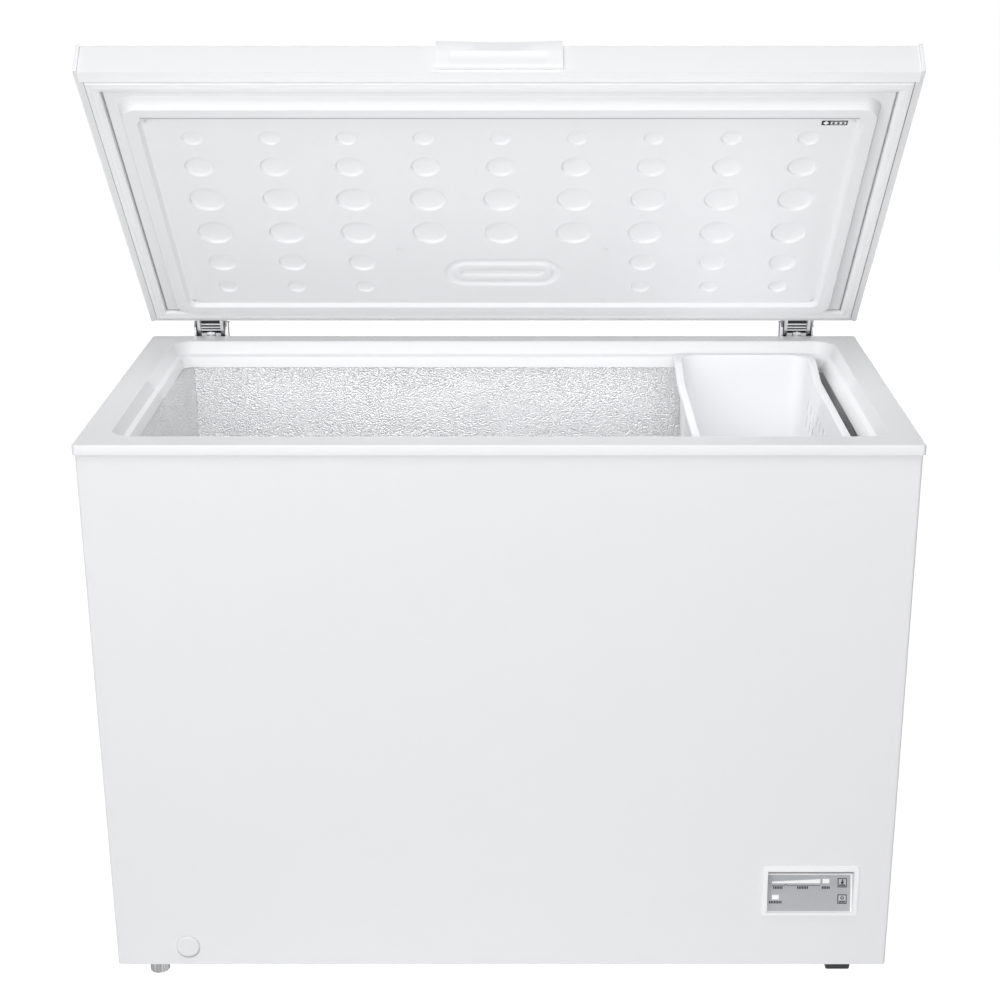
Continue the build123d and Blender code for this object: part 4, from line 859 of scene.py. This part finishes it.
# %% [markdown]
# The control panel's marks are thin raised shapes on the tilted fascia. They are made of a few flat
# outlines: a plate, a row of short ticks, a frame and an arc. Each outline gets a little thickness, and
# a function puts it in place.

# %% Flat outlines and raised shapes
PANEL_X, FASCIA_Y, FASCIA_Z = 434.0, -279.0, 107.3
FASCIA_UP, FASCIA_OUT = 0.9664, 0.2571


def fascia_point(x, s, h):
    """A point on the fascia: across, up its slope and out of its face."""
    y = FASCIA_Y + FASCIA_OUT * s - FASCIA_UP * h
    return (PANEL_X + x, y, FASCIA_Z + FASCIA_UP * s + FASCIA_OUT * h)


def raised(outlines, low, high, place):
    """Thin plates from flat outlines, put in place by a function."""
    shapes = []
    for outline in outlines:
        loops = [[place(a, b, h) for a, b in outline] for h in (low, high)]
        shapes.append(skin(loops, fill_first=True, fill_last=True))
    return joined(shapes)


def plate(x0, x1, s0, s1):
    """A rectangle."""
    return [(x0, s0), (x1, s0), (x1, s1), (x0, s1)]


def ticks(x0, x1, s0, s1, pitch=2.3, width=1.6):
    """A row of short upright ticks."""
    count = int((x1 - x0 - width) / pitch) + 1
    return [plate(x0 + pitch * k, x0 + pitch * k + width, s0, s1) for k in range(count)]


def frame_lines(x0, x1, s0, s1, width=0.95):
    """The four sides of a frame."""
    low, high = s0 + width, s1 - width
    across = [plate(x0, x1, s0, low), plate(x0, x1, high, s1)]
    return across + [plate(x0, x0 + width, low, high), plate(x1 - width, x1, low, high)]


def arc(x, s, inner, outer, start, end, steps=10):
    """A flat ring or part of one, in short runs."""
    turns = [math.radians(start + (end - start) * k / steps) for k in range(steps + 1)]
    runs = []
    for a, b in zip(turns, turns[1:]):
        corners = ((inner, a), (outer, a), (outer, b), (inner, b))
        runs.append([(x + r * math.cos(t), s + r * math.sin(t)) for r, t in corners])
    return runs


print("a full ring has", len(arc(0.0, 0.0, 1.0, 2.0, 0, 360)), "runs")

# %% [markdown]
# The panel has a fine line under the lamp scale, rows of ticks below it, and a frame and a plain sign on
# each key. A key's sign rides on the key, so it goes in when the key is pressed. A brow shades the
# fascia's top, a dark strip of painted shade fills the gap over the frame, and the frame's own edges are
# rounded by a modifier.

# %% The control panel
KEY_TOP, KEY_X, KEY_HALF_X, KEY_HALF_S = 0.6, 47.0, 6.2, 6.4
UPPER_S, LOWER_S = 41.0, 17.4
BROW_HALF, GAP_SHADE_HALF = 58.4, 59.6
scale_line = [
    plate(-52.5, -34.0, 36.3, 36.9), plate(-34.2, -33.6, 36.9, 38.4), plate(-33.6, -31.2, 37.8, 38.4),
    plate(-31.2, -30.6, 36.9, 38.4), plate(-30.6, 15.6, 36.3, 36.9),
]
panel_ticks = []
for start, end in ((-50.4, -36.3), (-16.7, 0.7), (18.4, 31.2)):
    panel_ticks += ticks(start, end, 31.9, 35.7)
panel_ticks += ticks(-56.1, -37.3, 10.9, 14.6)
piece("panel_marks", *raised(scale_line + panel_ticks, -0.1, 0.2, fascia_point), "cabinet", ink_dark)
warmth_sign = [plate(KEY_X - 0.9, KEY_X + 0.9, UPPER_S, UPPER_S + 4.8)]
warmth_sign += arc(KEY_X, UPPER_S + 0.2, 0.01, 2.1, 0, 360)
for rise in (2.4, 3.8):
    warmth_sign.append(plate(KEY_X + 1.5, KEY_X + 3.0, UPPER_S + rise, UPPER_S + rise + 0.6))
power_sign = arc(KEY_X, LOWER_S + 1.9, 1.4, 2.6, 125, 415)
power_sign.append(plate(KEY_X - 0.5, KEY_X + 0.5, LOWER_S + 2.2, LOWER_S + 5.0))
for name, sign, s in (("upper_key", warmth_sign, UPPER_S), ("lower_key", power_sign, LOWER_S)):
    shapes = sign + frame_lines(KEY_X - KEY_HALF_X, KEY_X + KEY_HALF_X, s - KEY_HALF_S, s + KEY_HALF_S)
    shapes += ticks(KEY_X - 4.3, KEY_X + 4.5, s - 5.0, s - 2.2, 1.8, 1.45)
    piece(name + "_sign", *raised(shapes, KEY_TOP - 0.1, KEY_TOP + 0.12, fascia_point), name, ink_dark)
brow_section = [
    (-270.4, 163.0), (-270.4, 160.6), (-270.0, 160.1), (-267.4, 159.4), (-266.4, 159.4), (-266.4, 163.0),
]
piece("panel_brow", *bar(brow_section, PANEL_X - BROW_HALF, PANEL_X + BROW_HALF), "cabinet", brow_grey)
# The dark strip over the frame is painted shade in the gap.
gap_shade_section = [
    (-281.0, 171.6), (-281.0, 169.3), (-280.6, 168.8), (-278.6, 168.6), (-278.2, 169.0), (-278.2, 171.6),
]
piece("panel_gap_shade_strip", *bar(gap_shade_section, PANEL_X - GAP_SHADE_HALF, PANEL_X + GAP_SHADE_HALF), "cabinet", deep_shade_grey)
edge_round = nodes["control_bezel"].modifiers.new("edge_round", "BEVEL")
edge_round.width = 0.0009
edge_round.segments = 2
edge_round.limit_method = "ANGLE"
print("panel ticks:", len(panel_ticks))

# %% [markdown]
# Small turned and moulded pieces: the drain cap with its rounded rim and ring, a thin grey ring of
# painted shade that shows under the cap's lower edge, and the block feet under the machine bay, which
# narrow downwards. A ring of points for each step of the profile gives the cap its round.

# %% The drain cap and the block feet
CAP_X, CAP_Z, CAP_POINTS, SHADE_RING_DROP = -445.5, 52.5, 48, 3.2
FOOT_X, FOOT_Y, FOOT_CORNER = 483.4, 244.0, 2.4
cap_profile = [
    (5.9, -268.3), (5.9, -282.3), (16.2, -282.3), (16.5, -282.7), (16.5, -283.6), (15.9, -284.9),
    (14.9, -285.9), (13.6, -286.3), (9.4, -286.3), (8.9, -285.6), (8.3, -285.5), (7.8, -285.9),
    (0.4, -286.0),
]
cap_shade_ring_profile = [(16.5, -282.0), (16.5, -282.3), (16.2, -282.45), (11.0, -282.45), (11.0, -282.0)]
foot_profile = [(19.0, 22.0), (19.0, 19.6), (18.7, 18.9), (17.2, 1.4), (16.8, 0.5), (16.0, 0.0)]


def round_loop(radius, y, drop=0.0):
    """A ring about the drain's axis, or a little below it."""
    turns = [2 * math.pi * k / CAP_POINTS for k in range(CAP_POINTS)]
    return [(CAP_X + radius * math.cos(t), y, CAP_Z + radius * math.sin(t) - drop) for t in turns]


cap = skin([round_loop(r, y) for r, y in cap_profile], fill_first=True, fill_last=True)
piece("drain_cap_moulding", *cap, "drain_cap", cap_enamel, ["drain_cap"])
# The grey ring under the cap's lower edge is painted shade.
cap_shade_ring = skin([round_loop(r, y, SHADE_RING_DROP) for r, y in cap_shade_ring_profile], closed=True)
piece("drain_cap_shade_ring", *cap_shade_ring, "cabinet", soft_shade_grey)
feet = []
for foot_y in (-FOOT_Y, FOOT_Y):
    loops = [rounded_loop(half, half, (FOOT_X, foot_y), FOOT_CORNER, z, 4) for half, z in foot_profile]
    feet.append(skin(loops, fill_first=True, fill_last=True))
piece("block_feet", *joined(feet), "cabinet", foot_black, ["right_feet"])
print("steps in the cap's profile:", len(cap_profile), "and in a foot's:", len(foot_profile))

# %% [markdown]
# Each spring hinge shows its lid half between the lid and the rim: two pressed cheeks and cross rods of
# bright zinc. The cam plate that works the spring, a plate behind the rods and the cover at the back of
# the bracket are near-black steel, painted shade for the hinge's shadowed inside. Some sections are
# easier to draw with the lid open, and one function swings those places back.

# %% The hinges' sections
CAM_BASE, CAM_DROP, CAM_TURN, CAM_FRONT, CAM_STEPS = 12.0, 24.0, 75.0, 298.8, 16
CHEEK_RISE, ROD_Y, ROD_RADIUS, ROD_SIDES = 4.5, 296.6, 1.25, 12
ROD_HEIGHTS = (814.7, 809.9, 805.7)


def unswung(y, z):
    """A (y, z) place seen with the lid open, on the closed lid."""
    dy, dz = y - PIVOT_Y, z - PIVOT_Z
    c, s = math.cos(LID_ANGLE), math.sin(LID_ANGLE)
    return (PIVOT_Y + dy * c - dz * s, PIVOT_Z + dy * s + dz * c)


def cam_edge(angle):
    """A point of the cam's curved edge, on the closed lid."""
    reach = CAM_DROP - CAM_BASE * angle
    y = -CAM_BASE * math.cos(angle) + reach * math.sin(angle)
    z = -CAM_BASE * math.sin(angle) - reach * math.cos(angle)
    return (PIVOT_Y + y, PIVOT_Z + z)


def rod(y, z, x0, x1):
    """A round rod along x."""
    turns = [2 * math.pi * k / ROD_SIDES for k in range(ROD_SIDES)]
    return bar([(y + ROD_RADIUS * math.cos(t), z + ROD_RADIUS * math.sin(t)) for t in turns], x0, x1)


cheek = [
    (288.0, 843.0), (297.0, 843.0), (PIVOT_Y + 9.0, PIVOT_Z + CHEEK_RISE), (PIVOT_Y + 9.0, PIVOT_Z - 19.8),
    (PIVOT_Y - 4.5, PIVOT_Z - 21.6), (288.0, 806.0),
]
root = [(288.0, 806.0), (290.5, 806.0), (290.5, 843.0), (288.0, 843.0)]
cam_round = [cam_edge(math.radians(CAM_TURN) * k / CAM_STEPS) for k in range(CAM_STEPS + 1)]
cam_open = [swing((0.0, y, z)) for y, z in cam_round]
cam = [unswung(max(CAM_FRONT, y), z) for _, y, z in cam_open]
cam += [(PIVOT_Y + CAM_BASE / 2, PIVOT_Z + CHEEK_RISE), (PIVOT_Y - CAM_BASE, PIVOT_Z + CHEEK_RISE)]
shade_plate = [unswung(y, z) for y, z in ((302.6, 820.0), (302.6, 804.2), (303.8, 804.2), (303.8, 820.0))]
cover = [(321.0, 796.0), (322.4, 796.0), (322.4, 812.6), (321.9, 813.2), (321.3, 813.2), (321.0, 812.6)]
bracket_edge = [(308.4, 792.0), (311.2, 792.0), (311.2, 822.0), (308.4, 822.0)]
sill = [(296.2, 790.0), (297.6, 790.0), (297.6, 800.2), (297.3, 800.7), (296.6, 800.5), (296.2, 800.0)]
highlight_rib = [(292.7, 788.0), (293.9, 788.0), (293.9, 803.2), (293.5, 803.8), (293.0, 803.6), (292.7, 803.0)]
print("points in the cam's section:", len(cam))

# %% [markdown]
# Both hinges are made alike, as bars of those sections. The lid half and the dark shade plate ride on
# the lid. The cover, with the bracket's edges, and the light sill in front of it stay with the cabinet.
# A narrow bright rib, a painted highlight down the plunger, rides on the plunger, so it goes up and down
# with the spring.

# %% The hinges
HINGE_X = 459.5
CHEEK_IN, CHEEK_OUT, ROOT_HALF, ROD_HALF = 15.5, 20.4, 18.5, 15.6
SHADE_PLATE_HALF, CAM_HALF, COVER_HALF, HIGHLIGHT_RIB_HALF = 15.4, 1.3, 22.3, 1.3
EDGE_STARTS, EDGE_WIDTH = (-26.1, 25.4), 0.7
SILL_IN, SILL_OUT = 6.8, 15.0
for side, x in (("left", -HINGE_X), ("right", HINGE_X)):
    half = [bar(cheek, x - CHEEK_OUT, x - CHEEK_IN), bar(cheek, x + CHEEK_IN, x + CHEEK_OUT)]
    half.append(bar(root, x - ROOT_HALF, x + ROOT_HALF))
    half += [rod(*unswung(ROD_Y, z), x - ROD_HALF, x + ROD_HALF) for z in ROD_HEIGHTS]
    piece("hinge_lid_half_" + side, *joined(half), "lid", bright_zinc, ["hinge_leaf_" + side], lid=True)
    # The plate behind the rods, the cam and, below, the cover are near black as painted shade.
    dark = [bar(shade_plate, x - SHADE_PLATE_HALF, x + SHADE_PLATE_HALF), bar(cam, x - CAM_HALF, x + CAM_HALF)]
    piece("hinge_shade_plate_" + side, *joined(dark), "lid", shade_dark_steel, lid=True)
    back = [bar(cover, x - COVER_HALF, x + COVER_HALF)]
    back += [bar(bracket_edge, x + start, x + start + EDGE_WIDTH) for start in EDGE_STARTS]
    piece("hinge_cover_" + side, *joined(back), "cabinet", shade_dark_steel)
    sills = [bar(sill, x - SILL_OUT, x - SILL_IN), bar(sill, x + SILL_IN, x + SILL_OUT)]
    piece("hinge_sill_" + side, *joined(sills), "cabinet", brow_grey)
    # The bright rib is a painted highlight down the plunger.
    piece("hinge_highlight_rib_" + side, *bar(highlight_rib, x - HIGHLIGHT_RIB_HALF, x + HIGHLIGHT_RIB_HALF), "hinge_plunger_" + side, lamp_white)
print("rods per hinge:", len(ROD_HEIGHTS))

# %% [markdown]
# A small dark plate sits on the lid's inner skin near its front right corner. It carries a light diamond
# and a light field with three dark pips. They are raised shapes like the control panel's, put in place
# by another function.

# %% The plate inside the lid
PLATE_X0, PLATE_X1, PLATE_Y0, PLATE_Y1, PLATE_EDGE = 427.0, 461.5, -205.6, -196.6, 2.0
LIGHT_LEFT, LIGHT_RIGHT, DIAMOND_X, DIAMOND_HALF_X, DIAMOND_HALF_Y = 439.0, 459.5, 433.0, 4.0, 3.8
PIP_PLACES, PIP_RADIUS = (442.8, 449.2, 455.6), 2.0
plate_middle = (PLATE_Y0 + PLATE_Y1) / 2


def on_panel(x, y, h):
    """A point on the inner skin's floor, raised towards the tub."""
    return (x, y, PANEL_Z - h)


dark_field = [plate(PLATE_X0, PLATE_X1, PLATE_Y0, PLATE_Y1)]
light_field = [plate(LIGHT_LEFT, LIGHT_RIGHT, PLATE_Y0 + PLATE_EDGE, PLATE_Y1 - PLATE_EDGE)]
diamond = [
    (DIAMOND_X - DIAMOND_HALF_X, plate_middle), (DIAMOND_X, plate_middle - DIAMOND_HALF_Y),
    (DIAMOND_X + DIAMOND_HALF_X, plate_middle), (DIAMOND_X, plate_middle + DIAMOND_HALF_Y),
]
pips = [run for x in PIP_PLACES for run in arc(x, plate_middle, 0.01, PIP_RADIUS, 0, 360, 8)]
piece("lid_plate", *raised(dark_field, -0.1, 0.35, on_panel), "lid", ink_dark, lid=True)
piece("lid_plate_field", *raised(light_field + [diamond], 0.3, 0.5, on_panel), "lid", lamp_white, lid=True)
piece("lid_plate_pips", *raised(pips, 0.45, 0.65, on_panel), "lid", ink_dark, lid=True)
print("pips on the plate:", len(PIP_PLACES))

# %% [markdown]
# The camera stands where the photograph was taken: in front, a little to the right of the middle,
# somewhat higher than the open lid and looking down by about twenty degrees. Its lens and shift were
# fitted to the rim's and the lid's corners.

# %% The camera
camera_data = bpy.data.cameras.new("photo_view")
camera_data.sensor_width = 36.0
camera_data.lens = 68.324
camera_data.shift_x = -0.02596
camera_data.shift_y = 0.04755
camera = bpy.data.objects.new("photo_view", camera_data)
camera.location = (0.0346, -2.6344, 1.5239)
camera.rotation_euler = (math.radians(69.60), 0.0, 0.0)
bpy.context.scene.collection.objects.link(camera)
bpy.context.scene.camera = camera
print("camera at", [round(v, 3) for v in camera.location])

# %% [markdown]
# A studio for white goods is mostly white itself. The floor is pale and keeps the shadow. Seen by the
# camera, in a mirror or through a pane it is mixed with plain white, and the world is plain white there
# too. So the background comes out as paper white without any more light on the freezer.

# %% Floor and world
FLOOR_HALF, FLOOR_PAPER, PAPER_STRENGTH, WORLD_FILL = 40, 0.80, 1.24, 0.10
WHITE = (1.0, 1.0, 1.0, 1.0)
PAPER_RAYS = ("Is Camera Ray", "Is Glossy Ray", "Is Transmission Ray")


def paper_share(tree):
    """One for rays that show the background, and zero for rays that light the freezer."""
    seen, mirrored, through = [Wire.node(tree, "ShaderNodeLightPath", out=ray) for ray in PAPER_RAYS]
    return seen.math("MAXIMUM", mirrored).math("MAXIMUM", through)


floor_material, tree = new_material("studio_floor")
tone = between(tree, noise(tree, object_place(tree), 0.8), (0.75, 0.75, 0.75, 1.0), (0.77, 0.77, 0.77, 1.0))
matt = Wire.node(tree, "ShaderNodeBsdfDiffuse", None, {"Color": tone})
paper = Wire.node(tree, "ShaderNodeEmission", None, {"Color": WHITE, "Strength": PAPER_STRENGTH})
share = paper_share(tree) * FLOOR_PAPER
show(tree, Wire.node(tree, "ShaderNodeMixShader", None, {0: share, 1: matt, 2: paper}))
floor_mesh = bpy.data.meshes.new("floor")
floor_mesh.from_pydata([(sx * FLOOR_HALF, sy * FLOOR_HALF, 0) for sx, sy in CORNERS], [], [(0, 1, 2, 3)])
floor = bpy.data.objects.new("floor", floor_mesh)
floor.data.materials.append(floor_material)
bpy.context.scene.collection.objects.link(floor)

world = bpy.data.worlds.new("studio")
bpy.context.scene.world = world
world.use_nodes = True
sky = world.node_tree
sky.nodes.clear()
strength = paper_share(sky) * (1.0 - WORLD_FILL) + WORLD_FILL
glow = Wire.node(sky, "ShaderNodeBackground", None, {"Color": WHITE, "Strength": strength})
show(sky, glow, "ShaderNodeOutputWorld")
print("world fill", WORLD_FILL)

# %% [markdown]
# Three large soft lamps in front and above give the form, and a long low one behind reaches the back
# edges. Three small ones stand close to the freezer: one faces the lid's inside, and two look down into
# the tub.

# %% Lamps
LAMP_COLOUR = (0.985, 0.991, 1.0)


def softbox(name, place, target, width, height, power):
    """A soft lamp that looks at a point."""
    data = bpy.data.lights.new(name, "AREA")
    data.shape = "RECTANGLE"
    data.size = width
    data.size_y = height
    data.energy = power
    data.color = LAMP_COLOUR
    lamp = bpy.data.objects.new(name, data)
    lamp.location = place
    lamp.rotation_euler = (Vector(target) - Vector(place)).to_track_quat("-Z", "Y").to_euler()
    lamp.visible_camera = False
    bpy.context.scene.collection.objects.link(lamp)


softbox("key_high", (-1.6, -5.2, 3.2), (0.0, 0.0, 0.9), 5.0, 3.0, 127.0)
softbox("low_front", (-0.4, -4.5, 0.7), (0.0, 0.0, 0.9), 5.0, 1.2, 57.0)
softbox("overhead", (0.0, -1.4, 3.6), (0.0, 0.0, 0.7), 3.0, 1.6, 46.6)
softbox("back_soft", (1.2, 4.6, 0.42), (0.0, 0.3, 0.6), 4.0, 0.6, 60.0)
softbox("lid_fill", (0.0, -0.06, 0.875), (0.0, 0.635, 1.50), 1.04, 0.62, 0.72)
softbox("mouth_fill", (0.0, -0.02, 0.806), (0.0, -0.02, 0.0), 0.98, 0.46, 0.33)
softbox("tub_fill", (-0.125, -0.02, 0.762), (-0.125, -0.02, 0.0), 0.70, 0.44, 0.50)
print("lamps:", len(bpy.data.lights))

# %% [markdown]
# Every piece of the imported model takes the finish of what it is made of. Pieces that a finer skin stands
# for get their finish too, so that they look right wherever the plain model is used.

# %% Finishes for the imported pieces
finish_of = {
    white_enamel: ["outer_shell", "lid_skin"],
    white_moulding: [
        "top_frame", "lid_end_cap_left", "lid_end_cap_right", "side_grille", "drain_tube", "drain_stopper",
    ],
    basket_white: ["basket"],
    bezel_white: ["control_bezel"],
    cap_enamel: ["drain_cap"],
    lid_moulding: ["lid_liner"],
    soft_seal: ["lid_gasket"],
    handle_moulding: ["lid_handle"],
    galvanised: ["rear_panel", "base_pan", "bay_bulkhead", "compressor_tray", "rear_cover"],
    zinc_plate: [
        "hinge_bracket_left", "hinge_bracket_right", "hinge_leaf_left", "hinge_leaf_right",
        "hinge_spring_left", "hinge_spring_right", "hinge_plunger_left", "hinge_plunger_right",
        "hinge_pin_left", "hinge_pin_right", "hinge_screws", "leaf_screws", "rear_cover_screws",
        "compressor_bolts",
    ],
    pebbled_aluminium: ["inner_liner"],
    fascia_grey: ["control_fascia"],
    lamp_white: ["indicator_windows"],
    key_grey: ["upper_key", "lower_key"],
    foot_grey: ["levelling_foot_front", "levelling_foot_rear"],
    foot_black: ["right_feet"],
    black_enamel: ["compressor"],
    rubber_black: ["compressor_grommets", "terminal_cover", "cord_gland"],
    copper_tube: ["discharge_line", "suction_line", "filter_drier"],
    tube_metal: ["evaporator_coil", "condenser_coil"],
    foam_cream: ["cabinet_insulation", "lid_insulation"],
    board_green: ["control_board"],
}
for material, names in finish_of.items():
    for name in names:
        nodes[name].data.materials.clear()
        nodes[name].data.materials.append(material)
bare = sorted(set(nodes) - {name for names in finish_of.values() for name in names})
print("pieces without a finish:", bare)

# %% [markdown]
# Colours are shown as they are, with no film curve on top.

# %% View
bpy.context.scene.view_settings.view_transform = "Standard"
